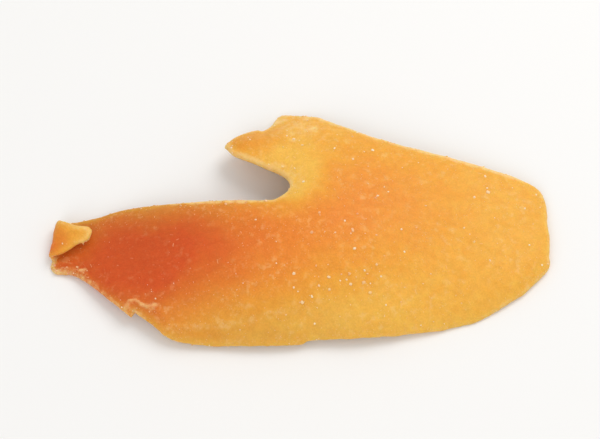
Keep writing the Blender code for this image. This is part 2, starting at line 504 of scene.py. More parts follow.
@dataclass(frozen=True)
class Bevel:
    """How the flesh thins towards its cut edge: a round edge, a knife's bevel, and then the full flesh."""

    rim: float = 1.1  # thickness at the cut edge
    reach: float = 2.5  # how far in the bevel runs
    power: float = 1.6  # over 1, it starts gently
    gain: float = 1.5  # the higher, the fuller the flesh is at its reach
    edge_radius: float = 0.5
    rim_sway: Ripple = Ripple((6.0, 6.0), 0.22, 5.5)
    reach_sway: Ripple = Ripple((7.0, 7.0), 0.45, 6.5)

    def thickness(self, points: np.ndarray, rim: np.ndarray, flesh: float) -> np.ndarray:
        """The flesh's thickness, before its edge is rounded.

        Args:
            points: Flat points in mm.
            rim: How far in from the cut edge each lies.
            flesh: The full flesh's thickness.

        Returns:
            Thicknesses in mm.
        """
        edge = self.rim * (1 + self.rim_sway.at(points))
        reach = self.reach * (1 + self.reach_sway.at(points))
        share = 1 - np.exp(-((rim / reach) ** self.power) * self.gain)
        return edge + (flesh - edge) * share

    def rounding(self, rim: np.ndarray) -> np.ndarray:
        """The share of the thickness that the round edge leaves, from 0 at the very edge."""
        inset = np.clip(1 - rim / self.edge_radius, 0.0, 1.0)
        return np.sqrt(np.maximum(1 - inset**2, 0.0))


@dataclass(frozen=True)
class FineRelief:
    """Fine shape of a face: lengthwise fibres, lumps, grain, puckers near the rim, and a lip along it."""

    fibre_bend: float = 0.006  # how the fibres bow over the slice's length
    fibres: tuple[Ripple, ...] = (Ripple((9.0, 1.1), 0.050, 0.0), Ripple((4.0, 0.6), 0.026, 1.0))
    lumps: tuple[Ripple, ...] = (Ripple((2.4, 2.0), 0.08, 2.0), Ripple((0.75, 0.75), 0.028, 3.0))
    pucker: Ripple = Ripple((1.5, 1.5), 0.10, 4.0)
    pucker_from_rim: Span = (0.9, 0.9)  # how far in the puckers are highest, and how wide they reach
    underside: Ripple = Ripple((4.5, 3.0), 0.16, 5.0)
    lip: float = 0.12  # its height on frosted stretches
    tip_lip: float = 0.03  # and on the thin tip
    lip_from_rim: Span = (0.55, 0.35)
    starts: Span = (0.0, 0.8)  # how far in from the cut edge all of this starts, and is whole

    def height(
        self, points: np.ndarray, rim: np.ndarray, side: Side, crust: np.ndarray, thin: np.ndarray
    ) -> np.ndarray:
        """Heights of one face, out of it.

        Args:
            points: Flat points in mm.
            rim: How far in from the cut edge each lies.
            side: Which face.
            crust: How frosted the edge near each is, from 0 to 1.
            thin: How far each has thinned into the tip, from 0 to 1.

        Returns:
            Heights in mm.
        """
        bent = points + np.column_stack([np.zeros(len(points)), self.fibre_bend * points[:, 0] ** 2])
        heights = sum(ripple.at(bent, side.layer) for ripple in self.fibres)
        heights = heights + sum(ripple.at(points, side.layer) for ripple in self.lumps)
        heights += self.pucker.at(points, side.layer) * self.bump(rim, self.pucker_from_rim)
        heights += (self.lip + (self.tip_lip - self.lip) * thin) * crust * self.bump(rim, self.lip_from_rim)
        if side is Side.UNDER:
            heights += self.underside.at(points, side.layer)
        return heights

    @staticmethod
    def bump(rim: np.ndarray, shape: Span) -> np.ndarray:
        """A soft ridge along the rim, 1 at shape's first distance from it, and shape's second wide."""
        return np.exp(-(((rim - shape[0]) / shape[1]) ** 2))


@dataclass(frozen=True)
class SliceForm:
    """The slice's two faces as functions of the flat sheet."""

    edge: CutEdge = CutEdge()
    dome: Dome = Dome()
    roll: TipRoll = TipRoll()
    bevel: Bevel = Bevel()
    fine: FineRelief = FineRelief()
    flesh: float = 2.7  # thickness of the body
    tip: float = 0.95  # and of the tip
    tip_taper: float = 8.0  # how far before the roll's line the one starts to thin into the other
    foot_depth: float = 0.4  # how much of its lowest foot is pressed flat
    sways: tuple[Ripple, ...] = (Ripple((13.0, 9.0), 0.30, 0.3), Ripple((5.0, 4.0), 0.12, 1.3))
    frost_depth: Span = (0.45, 1.0)  # how far in the frost runs from a hardly and a wholly frosted edge
    frost_firmness: int = 4  # how sharply it ends there
    frost_sway: Ripple = Ripple((1.6, 1.6), 0.5, 81.0)
    under_frost: float = 0.5  # the share of it that the under face has
    patches: tuple[Cluster, ...] = (
        Cluster((0.5, 17.5), (5.5, 3.2), 0.46),  # the lobe
        Cluster((-3.4, 20.0), (2.2, 1.0), 0.75),
        Cluster((1.2, 20.2), (0.9, 0.5), 0.75),
        Cluster((2.2, 17.4), (1.6, 0.6), 0.75),
        Cluster((-0.8, 14.7), (0.8, 0.45), 0.8),
        Cluster((-4.3, 14.3), (0.6, 0.4), 0.45),
        Cluster((6.1, 8.8), (0.9, 0.5), 0.40),  # right of the notch
        Cluster((5.0, 7.4), (0.7, 0.4), 0.35),
        Cluster((-11.6, 14.5), (0.9, 0.5), 0.75),  # the hook's end
        Cluster((-1.0, 7.5), (3.0, 3.5), 0.40),  # beside the notch
        Cluster((-3.9, 10.2), (1.6, 0.6), 0.50),
        Cluster((-2.5, 9.9), (0.5, 0.4), 0.60),
        Cluster((-38.4, -6.2), (0.9, 0.6), 0.9),  # the toe
        Cluster((-34.2, -6.3), (0.9, 0.35), 0.9),
        Cluster((-36.6, -5.9), (2.6, 1.0), 0.15),
        Cluster((-39.4, 2.3), (0.8, 0.5), 0.6),  # the flap's foot
        Cluster((-23.1, -13.0), (1.6, 0.5), 0.70),  # the burr
        Cluster((-16.2, -13.4), (0.6, 0.4), 0.35),  # a row along the belly
        Cluster((-12.1, -15.3), (0.8, 0.4), 0.45),
        Cluster((-8.9, -15.3), (0.6, 0.5), 0.40),
        Cluster((-7.2, -15.4), (0.5, 0.4), 0.50),
        Cluster((-4.2, -14.2), (0.9, 0.5), 0.40),
        Cluster((-0.7, -12.9), (0.7, 0.4), 0.40),
    )
    burr_crest: Crease = Crease(
        ((-27.3, -13.1), (-26.4, -11.9), (-25.3, -11.8), (-23.6, -12.9), (-20.5, -14.0)),
        height=0.24,
        steep=0.22,
        long=0.8,
        frost=0.60,
    )
    toe_crest: Crease = Crease(
        ((-38.6, -5.9), (-37.4, -5.6), (-36.2, -5.8), (-34.5, -6.3), (-31.7, -8.0)),
        height=0.22,
        steep=0.30,
        long=0.5,
        frost=0.5,
    )
    toe_fold: Crease = Crease(
        ((-39.2, -4.6), (-37.9, -4.5), (-36.6, -4.7), (-34.9, -5.1)),
        height=0.16,
        steep=0.30,
        long=0.4,
        frost=0.3,
    )
    belly_line: Crease = Crease(
        ((-20.3, -15.9), (-9.6, -15.5), (-1.3, -13.5), (8.3, -9.1)),
        height=0.09,
        steep=0.5,
        long=1.3,
        frost=0.30,
    )

    def creases(self) -> tuple[Crease, ...]:
        """All creases of the outer face."""
        return self.burr_crest, self.toe_crest, self.toe_fold, self.belly_line

    def middle(self, points: np.ndarray) -> np.ndarray:
        """Where the middle of the flesh lies over flat points, domed and rolled.

        Args:
            points: Flat points in mm.

        Returns:
            Places in mm, still off the CAD frame.
        """
        across = self.roll.directions()[1]
        beyond = self.roll.rolled(points)
        root = points - beyond[:, None] * across
        radius = self.roll.radius(points)
        turn = np.minimum(beyond / radius, self.roll.angle)
        straight = beyond - turn * radius
        sideways = radius * np.sin(turn) + straight * np.cos(turn)
        upwards = radius * (1 - np.cos(turn)) + straight * np.sin(turn)
        flat = root + sideways[:, None] * across
        sway = sum(ripple.at(points) for ripple in self.sways)
        return np.column_stack([flat, self.dome.height(root) + upwards + sway])

    def normals(self, points: np.ndarray, reach: float = 0.25) -> np.ndarray:
        """Which way the outer face looks.

        Args:
            points: Flat points in mm.
            reach: How far to each side the slope is measured.

        Returns:
            Unit vectors out of the outer face.
        """
        slope_x = self.middle(points + (reach, 0)) - self.middle(points - (reach, 0))
        slope_y = self.middle(points + (0, reach)) - self.middle(points - (0, reach))
        normal = np.cross(slope_x, slope_y)
        return normal / np.linalg.norm(normal, axis=1)[:, None]

    def thinned(self, points: np.ndarray) -> np.ndarray:
        """How far flat points have thinned into the tip, from 0 to 1."""
        return smoothstep(self.roll.past(points), -self.tip_taper, 0.0)

    def half_thickness(self, points: np.ndarray, rim: np.ndarray) -> np.ndarray:
        """Half of the flesh's thickness.

        Args:
            points: Flat points in mm.
            rim: How far in from the cut edge each lies.

        Returns:
            Half thicknesses in mm.
        """
        body = self.bevel.thickness(points, rim, self.flesh)
        full = body + (self.tip - body) * self.thinned(points)
        return 0.5 * full * self.bevel.rounding(rim)

    def frost(self, points: np.ndarray, rim: np.ndarray, side: Side) -> np.ndarray:
        """How much dried sugar whitens one face: along its rim, on its creases and in its patches.

        Args:
            points: Flat points in mm.
            rim: How far in from the cut edge each lies.
            side: Which face.

        Returns:
            Shares from 0 to 1.
        """
        share = self.edge.frost(points, self.roll)
        least, most = self.frost_depth
        ragged = (least + (most - least) * share) * (1 + self.frost_sway.at(points))
        found = share * np.exp(-((rim / ragged) ** self.frost_firmness))
        if side is Side.UNDER:
            return np.clip(self.under_frost * found, 0.0, 1.0)
        for crease in self.creases():
            found = np.maximum(found, crease.whitened(points))
        for patch in self.patches:
            found = np.maximum(found, patch.weight(points))
        return np.clip(found, 0.0, 1.0)

    def relief(self, points: np.ndarray, rim: np.ndarray, side: Side) -> np.ndarray:
        """Fine shape of one face, with its creases, which starts a little way in from the cut edge.

        Args:
            points: Flat points in mm.
            rim: How far in from the cut edge each lies.
            side: Which face.

        Returns:
            Heights in mm, out of that face.
        """
        crust = self.edge.frost(points, self.roll)
        heights = self.fine.height(points, rim, side, crust, self.thinned(points))
        if side is Side.OUTER:
            heights += sum(crease.relief(points) for crease in self.creases())
        return heights * smoothstep(rim, *self.fine.starts)


# ---------------------------------------------------------------------------------------------------------
# Node trees
# ---------------------------------------------------------------------------------------------------------


@dataclass(frozen=True)
class Cloud:
    """Noise of about 0 to 1 in a node tree: its scale, and how detailed and rough it is."""

    scale: float
    detail: float = 2.0
    rough: float = 0.5


@dataclass(frozen=True)
class Rise:
    """A smooth rise of a value: from bottom to top, between low and high."""

    low: float
    high: float
    bottom: float = 0.0
    top: float = 1.0


@dataclass(frozen=True)
class Nodes:
    """A node tree being drawn, of a material or of a group."""

    tree: Tree

    def __post_init__(self) -> None:
        """Starts on an empty tree."""
        self.tree.nodes.clear()

    def add(self, kind: str, inputs: Inputs | None = None, **settings: object) -> bpy.types.Node:
        """Adds a node.

        Args:
            kind: The node's type, which leaves out the prefix of a shader node.
            inputs: What each input gets: a socket to link from, or a value.
            settings: The node's own settings.

        Returns:
            The node.
        """
        node = self.tree.nodes.new(kind if kind.startswith("Node") else "ShaderNode" + kind)
        for name, value in settings.items():
            setattr(node, name, value)
        for name, value in (inputs or {}).items():
            if isinstance(value, Socket):
                self.tree.links.new(value, node.inputs[name])
            else:
                node.inputs[name].default_value = value
        return node

    def math(self, operation: str, *values: Value, clamp: bool = False) -> Socket:
        """A Math node's result for one, two or three values."""
        return self.add("Math", dict(enumerate(values)), operation=operation, use_clamp=clamp).outputs[0]

    def vector(self, operation: str, *values: Value) -> Socket:
        """A Vector Math node's resulting vector."""
        return self.add("VectorMath", dict(enumerate(values)), operation=operation).outputs["Vector"]

    def scaled(self, place: Socket, scale: Value) -> Socket:
        """A place times a scale."""
        return self.add("VectorMath", {0: place, "Scale": scale}, operation="SCALE").outputs["Vector"]

    def group(self, tree: Tree, inputs: Inputs) -> bpy.types.Node:
        """Places a shared group."""
        return self.add("Group", inputs, node_tree=tree)

    def read(self, attribute: str, output: str = "Fac") -> Socket:
        """What a piece stores at each point under this name."""
        return self.add("Attribute", attribute_name=attribute).outputs[output]

    def mix(self, factor: Value, first: Value, second: Value, blend: Blend = Blend.COVER) -> Socket:
        """Mixes two colours, where the factor says how much the second one counts."""
        inputs = {MIX_FACTOR: factor, MIX_FIRST: first, MIX_SECOND: second}
        return self.add("Mix", inputs, data_type="RGBA", blend_type=blend.value).outputs[MIX_RESULT]

    def ramp(self, factor: Value, stops: Stops) -> Socket:
        """Picks a colour from a row of colours.

        Args:
            factor: What picks the colour.
            stops: Places from 0 to 1 and their colours.

        Returns:
            The colour.
        """
        node = self.add("ValToRGB", {"Fac": factor})
        elements = node.color_ramp.elements
        for place, _ in stops[1:-1]:
            elements.new(place)
        for element, (place, colour) in zip(elements, stops):
            element.position = place
            element.color = colour
        return node.outputs["Color"]

    def rise(self, value: Value, rise: Rise) -> Socket:
        """Takes a value over a smooth rise.

        Args:
            value: The value.
            rise: Where it rises, and from what to what.

        Returns:
            The risen value.
        """
        inputs = {"Value": value, "From Min": rise.low, "From Max": rise.high}
        inputs |= {"To Min": rise.bottom, "To Max": rise.top}
        return self.add("MapRange", inputs, interpolation_type="SMOOTHSTEP").outputs["Result"]

    def noise(self, place: Value, cloud: Cloud) -> Socket:
        """A cloud's value at a place."""
        return self._cloud(place, cloud).outputs["Fac"]

    def swayed(self, place: Socket, cloud: Cloud, reach: Triple) -> Socket:
        """A place that a cloud has moved about, by up to half of the reach."""
        drift = self.vector("SUBTRACT", self._cloud(place, cloud).outputs["Color"], (NOISE_MIDDLE,) * 3)
        return self.vector("MULTIPLY_ADD", drift, reach, place)

    def around(self, centre: float, value: Socket, swing: float) -> Socket:
        """Noise as a swing around a centre."""
        return self.math("MULTIPLY_ADD", value, swing, centre - swing * NOISE_MIDDLE)

    def blended(self, first: Socket, second: Socket, share: float) -> Socket:
        """A share of the first value with the rest of the second."""
        return self.math("MULTIPLY_ADD", first, share, self.math("MULTIPLY", second, 1 - share))

    def _cloud(self, place: Value, cloud: Cloud) -> bpy.types.Node:
        """A cloud's own node."""
        inputs = {"Vector": place, "Scale": cloud.scale, "Detail": cloud.detail, "Roughness": cloud.rough}
        return self.add("TexNoise", inputs)


def new_group(name: str, inputs: dict[str, str], outputs: dict[str, str]) -> tuple[Nodes, Outputs]:
    """Starts a shader node group with named sockets.

    Args:
        name: The group's name.
        inputs: Names of its inputs with their socket types.
        outputs: Names of its outputs with their socket types.

    Returns:
        The tree to draw, and what the group is given.
    """
    tree = bpy.data.node_groups.new(name, "ShaderNodeTree")
    for way, sockets in (("INPUT", inputs), ("OUTPUT", outputs)):
        for socket, kind in sockets.items():
            tree.interface.new_socket(socket, in_out=way, socket_type="NodeSocket" + kind)
    nodes = Nodes(tree)
    return nodes, nodes.add("NodeGroupInput").outputs


# ---------------------------------------------------------------------------------------------------------
# Effects that the finishes share
# ---------------------------------------------------------------------------------------------------------


def oval_pool() -> Tree:
    """Draws a soft oval pool on the sheet, 1 at its middle and 0 well outside its reach.

    Returns:
        The group.
    """
    inputs = {"Place": "Vector", "Middle": "Vector", "Reach": "Vector", "Firmness": "Float"}
    nodes, given = new_group("oval_pool", inputs, {"Mask": "Float"})
    away = nodes.vector("SUBTRACT", given["Place"], given["Middle"])
    share = nodes.vector("DIVIDE", away, given["Reach"])
    length = nodes.add("VectorMath", {0: share}, operation="LENGTH").outputs["Value"]
    fall = nodes.math("MULTIPLY", nodes.math("POWER", length, given["Firmness"]), -1.0)
    nodes.add("NodeGroupOutput", {"Mask": nodes.math("EXPONENT", fall)})
    return nodes.tree


@dataclass(frozen=True)
class Pool:
    """An oval pool in the flesh, and how strongly it counts."""

    middle: Spot
    reach: Spot
    depth: float
    firmness: float = 2.0  # the higher, the sharper its edge

    def mask(self, nodes: Nodes, pool: Tree, flat: Socket) -> Socket:
        """The pool's mask times its depth.

        Args:
            nodes: The tree to draw in.
            pool: The group of a soft oval pool.
            flat: The flat place.

        Returns:
            The mask.
        """
        inputs = {"Place": flat, "Middle": (*self.middle, 0.0), "Reach": (*self.reach, 1.0)}
        oval = nodes.group(pool, inputs | {"Firmness": self.firmness})
        return nodes.math("MULTIPLY", oval.outputs["Mask"], self.depth)


@dataclass(frozen=True)
class FibreFlecks:
    """Short pale flecks of fibre, stretched along one direction and broken up."""

    sways: Cloud = Cloud(0.35)
    sway_reach: Triple = (2.2, 2.2, 0.0)
    stretch: Triple = (0.55, 1.7, 1.0)  # under 1 the flecks are drawn out, and over 1 they are thinned
    strands: Cloud = Cloud(1.0)
    strand_edge: Rise = Rise(0.56, 0.72)
    patches: Cloud = Cloud(0.30, 3.0, 0.6)
    patch_edge: Rise = Rise(0.40, 0.62)

    def group(self) -> Tree:
        """Draws the flecks as a group.

        Returns:
            The group.
        """
        inputs = {"Place": "Vector", "Turn": "Float", "Fineness": "Float", "Cover": "Float"}
        nodes, given = new_group("fibre_flecks", inputs, {"Mask": "Float"})
        turn = {"Vector": given["Place"], "Angle": given["Turn"]}
        turned = nodes.add("VectorRotate", turn, rotation_type="Z_AXIS").outputs["Vector"]
        swayed = nodes.swayed(turned, self.sways, self.sway_reach)
        drawn_out = nodes.vector("MULTIPLY", swayed, self.stretch)
        strands = nodes.noise(nodes.scaled(drawn_out, given["Fineness"]), self.strands)
        patches = nodes.rise(nodes.noise(given["Place"], self.patches), self.patch_edge)
        kept = nodes.math("MULTIPLY", nodes.rise(strands, self.strand_edge), patches)
        nodes.add("NodeGroupOutput", {"Mask": nodes.math("MULTIPLY", kept, given["Cover"], clamp=True)})
        return nodes.tree


@dataclass(frozen=True)
class SugarSkin:
    """The fine skin of sugar and dried juice: heights, a mask of its specks, and a mottle of about 0.5."""

    coarse: Cloud = Cloud(0.9, 4.0, 0.6)
    fine: Cloud = Cloud(3.6, 3.0, 0.65)
    coarse_height: float = 0.55  # the share of the coarse noise in the height
    coarse_mottle: float = 0.5  # and in the mottle
    cells: float = 1.9  # how many cells for specks there are to a millimetre
    dot: Rise = Rise(0.34, 0.06)  # how far from its cell's middle a speck ends and is whole, in cells
    chosen: Cloud = Cloud(1.3, 1.0)  # which cells have a speck
    chosen_edge: Rise = Rise(0.50, 0.62)
    speck_height: float = 0.25
    patches: Cloud = Cloud(0.25, 3.0, 0.6)
    patch_edge: Rise = Rise(0.32, 0.62, 0.25, 1.0)

    def group(self) -> Tree:
        """Draws the skin as a group.

        Returns:
            The group.
        """
        outputs = {"Height": "Float", "Specks": "Float", "Mottle": "Float"}
        nodes, given = new_group("sugar_skin", {"Place": "Vector"}, outputs)
        place = given["Place"]
        coarse, fine = nodes.noise(place, self.coarse), nodes.noise(place, self.fine)
        cells = nodes.add("TexVoronoi", {"Vector": place, "Scale": self.cells}).outputs
        chosen = nodes.rise(nodes.noise(cells["Position"], self.chosen), self.chosen_edge)
        specks = nodes.math("MULTIPLY", nodes.rise(cells["Distance"], self.dot), chosen)
        patches = nodes.rise(nodes.noise(place, self.patches), self.patch_edge)
        height = nodes.blended(coarse, fine, self.coarse_height)
        skin = {
            "Height": nodes.math("MULTIPLY_ADD", specks, self.speck_height, height),
            "Specks": nodes.math("MULTIPLY", specks, patches, clamp=True),
            "Mottle": nodes.blended(coarse, fine, self.coarse_mottle),
        }
        nodes.add("NodeGroupOutput", skin)
        return nodes.tree


@dataclass(frozen=True)
class RipeFleshAndPaintedLight:
    """The flesh's colour over the sheet, red-orange at its heart, orange round it and golden at the rim,
    with painted shade and painted glow.
    """

    gold: float = 0.93  # how golden it is away from all pools, where 0 is red and 1 is golden
    redness_and_painted_glow: tuple[Pool, ...] = (
        Pool((-27.0, -5.4), (14.0, 8.8), 0.93, 2.8),  # the red heart
        Pool((-10.0, -4.0), (13.0, 8.5), 0.42),  # which fades to the right
        Pool((8.5, 4.0), (14.0, 9.0), 0.26),
        Pool((2.0, -1.5), (13.0, 5.5), 0.09),
        Pool((-20.0, -15.0), (10.0, 4.5), 0.11),  # the belly's left half
        Pool((-8.0, 15.0), (5.5, 2.6), 0.13),  # the hook
        Pool((-41.3, -3.0), (2.6, 2.4), 0.52),  # the flap's low corner
        Pool((-37.2, -6.0), (2.6, 1.6), 0.30),  # the toe
        Pool((-1.0, 7.5), (4.8, 5.4), -0.50),  # painted glow: paler beside the notch, where light shines through the thin flesh
        Pool((6.0, -14.5), (27.0, 4.0), -0.08),  # and along the belly
    )
    pink_rim: Pool = Pool((-33.5, -9.5), (6.5, 3.6), 0.85)  # where the rim is neither golden nor given its painted glow
    tone_and_shade: tuple[Pool, ...] = (  # where it is darker: partly the flesh's own darker tone, partly painted shade on the left end and the belly's lower strip, which turn away from the light
        Pool((-26.0, -2.0), (17.5, 14.0), 0.90, 2.4),
        Pool((-12.0, -16.5), (22.0, 7.0), 0.34),
        Pool((-10.0, 15.5), (5.5, 3.0), 0.28),
    )
    flap_painted_light: Pool = Pool((-42.5, 0.0), (4.0, 6.0), 0.2)  # painted light: the thin flap, which catches the light, is kept lighter
    # the tint of the darker tone and the painted shade
    tone_and_shade_tint: Colour = (0.71, 0.71, 0.72, 1.0)
    red_to_gold: Stops = (
        (0.00, (0.860, 0.121, 0.016, 1.0)),
        (0.25, (0.860, 0.184, 0.020, 1.0)),
        (0.45, (0.865, 0.240, 0.024, 1.0)),
        (0.65, (0.875, 0.310, 0.032, 1.0)),
        (0.85, (0.890, 0.400, 0.042, 1.0)),
        (1.00, (0.915, 0.520, 0.080, 1.0)),
    )
    sways: Cloud = Cloud(0.12, 3.0, 0.55)
    wander: Triple = (7.0, 5.5, 0.0)  # how far the pools' outlines sway
    mottle: Cloud = Cloud(0.42, 4.0, 0.6)
    mottle_swing: float = 0.20
    rim_gold_and_glow: Rise = Rise(0.0, 1.7, 0.7, 0.0)  # how much more golden it is, from the cut edge in: partly the flesh's own colour, partly a painted glow of the thin, translucent edge

    def group(self, pool: Tree) -> Tree:
        """Draws the colour as a group.

        Args:
            pool: The group of a soft oval pool.

        Returns:
            The group.
        """
        outputs = {"Colour": "Color", "Gold": "Float"}
        nodes, given = new_group("ripe_flesh_and_painted_light", {"Place": "Vector", "Rim": "Float"}, outputs)
        place = given["Place"]
        flat = nodes.vector("MULTIPLY", nodes.swayed(place, self.sways, self.wander), (1.0, 1.0, 0.0))
        gold: Value = self.gold
        for red in self.redness_and_painted_glow:
            gold = nodes.math("SUBTRACT", gold, red.mask(nodes, pool, flat))
        mottle = nodes.around(0.0, nodes.noise(place, self.mottle), self.mottle_swing)
        gold = nodes.math("ADD", gold, mottle, clamp=True)
        rim_gold_and_glow_allowed = nodes.math("SUBTRACT", 1.0, self.pink_rim.mask(nodes, pool, flat))
        # the rim's golden colour and its painted glow
        near = nodes.math("MULTIPLY", nodes.rise(given["Rim"], self.rim_gold_and_glow), rim_gold_and_glow_allowed)
        towards_rim = nodes.math("MULTIPLY_ADD", nodes.math("SUBTRACT", 1.0, gold), near, gold, clamp=True)
        # darker tone and painted shade together, less the painted light on the flap
        tone_and_shade: Value = 0.0
        for dark in self.tone_and_shade:
            tone_and_shade = nodes.math("MAXIMUM", tone_and_shade, dark.mask(nodes, pool, flat))
        tone_and_shade = nodes.math("SUBTRACT", tone_and_shade, self.flap_painted_light.mask(nodes, pool, flat), clamp=True)
        colour = nodes.mix(tone_and_shade, nodes.ramp(towards_rim, self.red_to_gold), self.tone_and_shade_tint, Blend.TINT)
        nodes.add("NodeGroupOutput", {"Colour": colour, "Gold": gold})
        return nodes.tree


@dataclass(frozen=True)
class Effects:
    """The node groups that the finishes share."""

    flesh: Tree
    flecks: Tree
    skin: Tree

    @classmethod
    def drawn(cls) -> "Effects":
        """Draws all groups, once."""
        return cls(RipeFleshAndPaintedLight().group(oval_pool()), FibreFlecks().group(), SugarSkin().group())


# ---------------------------------------------------------------------------------------------------------
# Finishes
# ---------------------------------------------------------------------------------------------------------


@dataclass(frozen=True)
class Surface:
    """What changes over a finish's surface."""

    colour: Socket
    roughness: Socket
    height: Socket


@dataclass(frozen=True, kw_only=True)
class Finish:
    """A translucent finish that shows the flesh's colour. Each kind says how its surface changes."""

    effects: Effects
    name: str
    roughness: float
    roughness_swing: float
    ior: float
    gloss: float
    bump: float
    bump_height: float  # in mm
    through: float  # the share of the light that goes through the flesh
    light_reach: Triple  # how far red, green and blue light goes
    light_scale: float  # in mm

    def build(self) -> bpy.types.Material:
        """Draws the material.

        Returns:
            The material.
        """
        material = bpy.data.materials.new(self.name)
        material.use_nodes = True
        nodes = Nodes(material.node_tree)
        place = nodes.read(SHEET, "Vector")
        flesh = nodes.group(self.effects.flesh, {"Place": place, "Rim": nodes.read(RIM)})
        surface = self.surface(nodes, place, flesh)
        bump = {"Strength": self.bump, "Distance": self.bump_height * MM, "Height": surface.height}
        shading = {
            "Base Color": surface.colour,
            "Roughness": surface.roughness,
            "Normal": nodes.add("Bump", bump).outputs["Normal"],
            "IOR": self.ior,
            "Specular IOR Level": self.gloss,
            "Subsurface Weight": self.through,
            "Subsurface Radius": self.light_reach,
            "Subsurface Scale": self.light_scale * MM,
        }
        shader = nodes.add("BsdfPrincipled", shading)
        nodes.add("OutputMaterial", {"Surface": shader.outputs["BSDF"]})
        return material

    def surface(self, nodes: Nodes, place: Socket, flesh: bpy.types.Node) -> Surface:
        """What changes over the surface, by the place on the sheet and the flesh's colour there."""
        raise NotImplementedError


@dataclass(frozen=True, kw_only=True)
class CandiedFlesh(Finish):
    """Candied papaya flesh: half matt, mottled, flecked with fibres, and dusted and frosted with sugar."""

    name: str = "papaya_flesh_candied"
    roughness: float = 0.52
    roughness_swing: float = 0.22
    ior: float = 1.45
    gloss: float = 0.30
    bump: float = 0.6
    bump_height: float = 0.14
    through: float = 0.45
    light_reach: Triple = (1.0, 0.42, 0.16)
    light_scale: float = 1.8
    frost: Colour = (0.930, 0.640, 0.270, 1.0)  # of dried sugar
    fleck: Colour = (0.930, 0.500, 0.200, 1.0)  # of fibres
    speck: Colour = (0.950, 0.660, 0.300, 1.0)  # of specks and blotches
    shades: Stops = ((0.0, (0.90, 0.86, 0.80, 1.0)), (1.0, (1.0, 1.0, 1.0, 1.0)))  # that the mottle tints by
    shade_edge: Rise = Rise(0.36, 0.64)
    seen_on: Rise = Rise(0.05, 0.55, 0.45, 1.25)  # pale marks show less on red flesh than on golden
    bloom_share: float = 0.20  # how much the blotches show
    fleck_share: float = 0.09
    speck_share: float = 0.21
    fleck_height: float = 0.20
    fleck_sets: tuple[Triple, ...] = ((48.0, 1.25, 0.9), (-12.0, 0.9, 0.8))  # turn, fineness, cover
    blotches: Cloud = Cloud(0.85, 3.0, 0.6)
    blotch_edge: Rise = Rise(0.52, 0.68)
    drifts: Cloud = Cloud(0.13)
    drifts_from: Triple = (31.0, 7.0, 0.0)  # so far off, the drifts read noise of their own
    drift_edge: Rise = Rise(0.38, 0.62)
    frost_breaks: Cloud = Cloud(1.15, 4.0, 0.65)
    frost_swing: float = 1.3
    frost_starts: Rise = Rise(0.0, 0.3)  # no frost is broken up where there is none
    frost_edge: Rise = Rise(0.12, 1.0, 0.0, 0.85)
    frost_roughness: float = 0.2  # how much rougher it is than the flesh
    sheen: Cloud = Cloud(0.8, 3.0)

    def surface(self, nodes: Nodes, place: Socket, flesh: bpy.types.Node) -> Surface:
        """Draws what changes over the flesh.

        Args:
            nodes: The material's tree.
            place: The place on the sheet.
            flesh: The flesh's colour there, and how golden it is.

        Returns:
            The colour, the roughness and the height.
        """
        seen = nodes.rise(flesh.outputs["Gold"], self.seen_on)
        skin = nodes.group(self.effects.skin, {"Place": place}).outputs
        flecks, frost = self._flecks(nodes, place), self._frost(nodes, place)
        shade = nodes.ramp(nodes.rise(skin["Mottle"], self.shade_edge), self.shades)
        colour = nodes.mix(1.0, flesh.outputs["Colour"], shade, Blend.TINT)
        for mask, share, shown in (
            (self._bloom(nodes, place), self.bloom_share, self.speck),
            (flecks, self.fleck_share, self.fleck),
            (skin["Specks"], self.speck_share, self.speck),
        ):
            cover = nodes.math("MULTIPLY", nodes.math("MULTIPLY", mask, seen), share)
            colour = nodes.mix(cover, colour, shown)
        rough = nodes.around(self.roughness, nodes.noise(place, self.sheen), self.roughness_swing)
        return Surface(
            colour=nodes.mix(frost, colour, self.frost),
            roughness=nodes.math("MULTIPLY_ADD", frost, self.frost_roughness, rough),
            height=nodes.math("MULTIPLY_ADD", flecks, self.fleck_height, skin["Height"]),
        )

    def _flecks(self, nodes: Nodes, place: Socket) -> Socket:
        """Draws sets of fibre flecks, each at its own angle.

        Args:
            nodes: The material's tree.
            place: The place on the sheet.

        Returns:
            The mask.
        """
        found = []
        for turn, fineness, cover in self.fleck_sets:
            inputs = {"Place": place, "Turn": math.radians(turn), "Fineness": fineness, "Cover": cover}
            found.append(nodes.group(self.effects.flecks, inputs).outputs["Mask"])
        return nodes.math("MAXIMUM", *found)

    def _bloom(self, nodes: Nodes, place: Socket) -> Socket:
        """Draws soft pale blotches, a millimetre or so across, that gather in drifts.

        Args:
            nodes: The material's tree.
            place: The place on the sheet.

        Returns:
            The mask.
        """
        blotches = nodes.rise(nodes.noise(place, self.blotches), self.blotch_edge)
        elsewhere = nodes.vector("ADD", place, self.drifts_from)
        drifts = nodes.rise(nodes.noise(elsewhere, self.drifts), self.drift_edge)
        return nodes.math("MULTIPLY", blotches, drifts)

    def _frost(self, nodes: Nodes, place: Socket) -> Socket:
        """Breaks up the sugar that has dried on the rim, the creases and the patches.

        Args:
            nodes: The material's tree.
            place: The place on the sheet.

        Returns:
            The mask.
        """
        frost = nodes.read(FROST)
        broken = nodes.around(0.0, nodes.noise(place, self.frost_breaks), self.frost_swing)
        wavy = nodes.math("MULTIPLY_ADD", broken, nodes.rise(frost, self.frost_starts), frost)
        return nodes.rise(wavy, self.frost_edge)


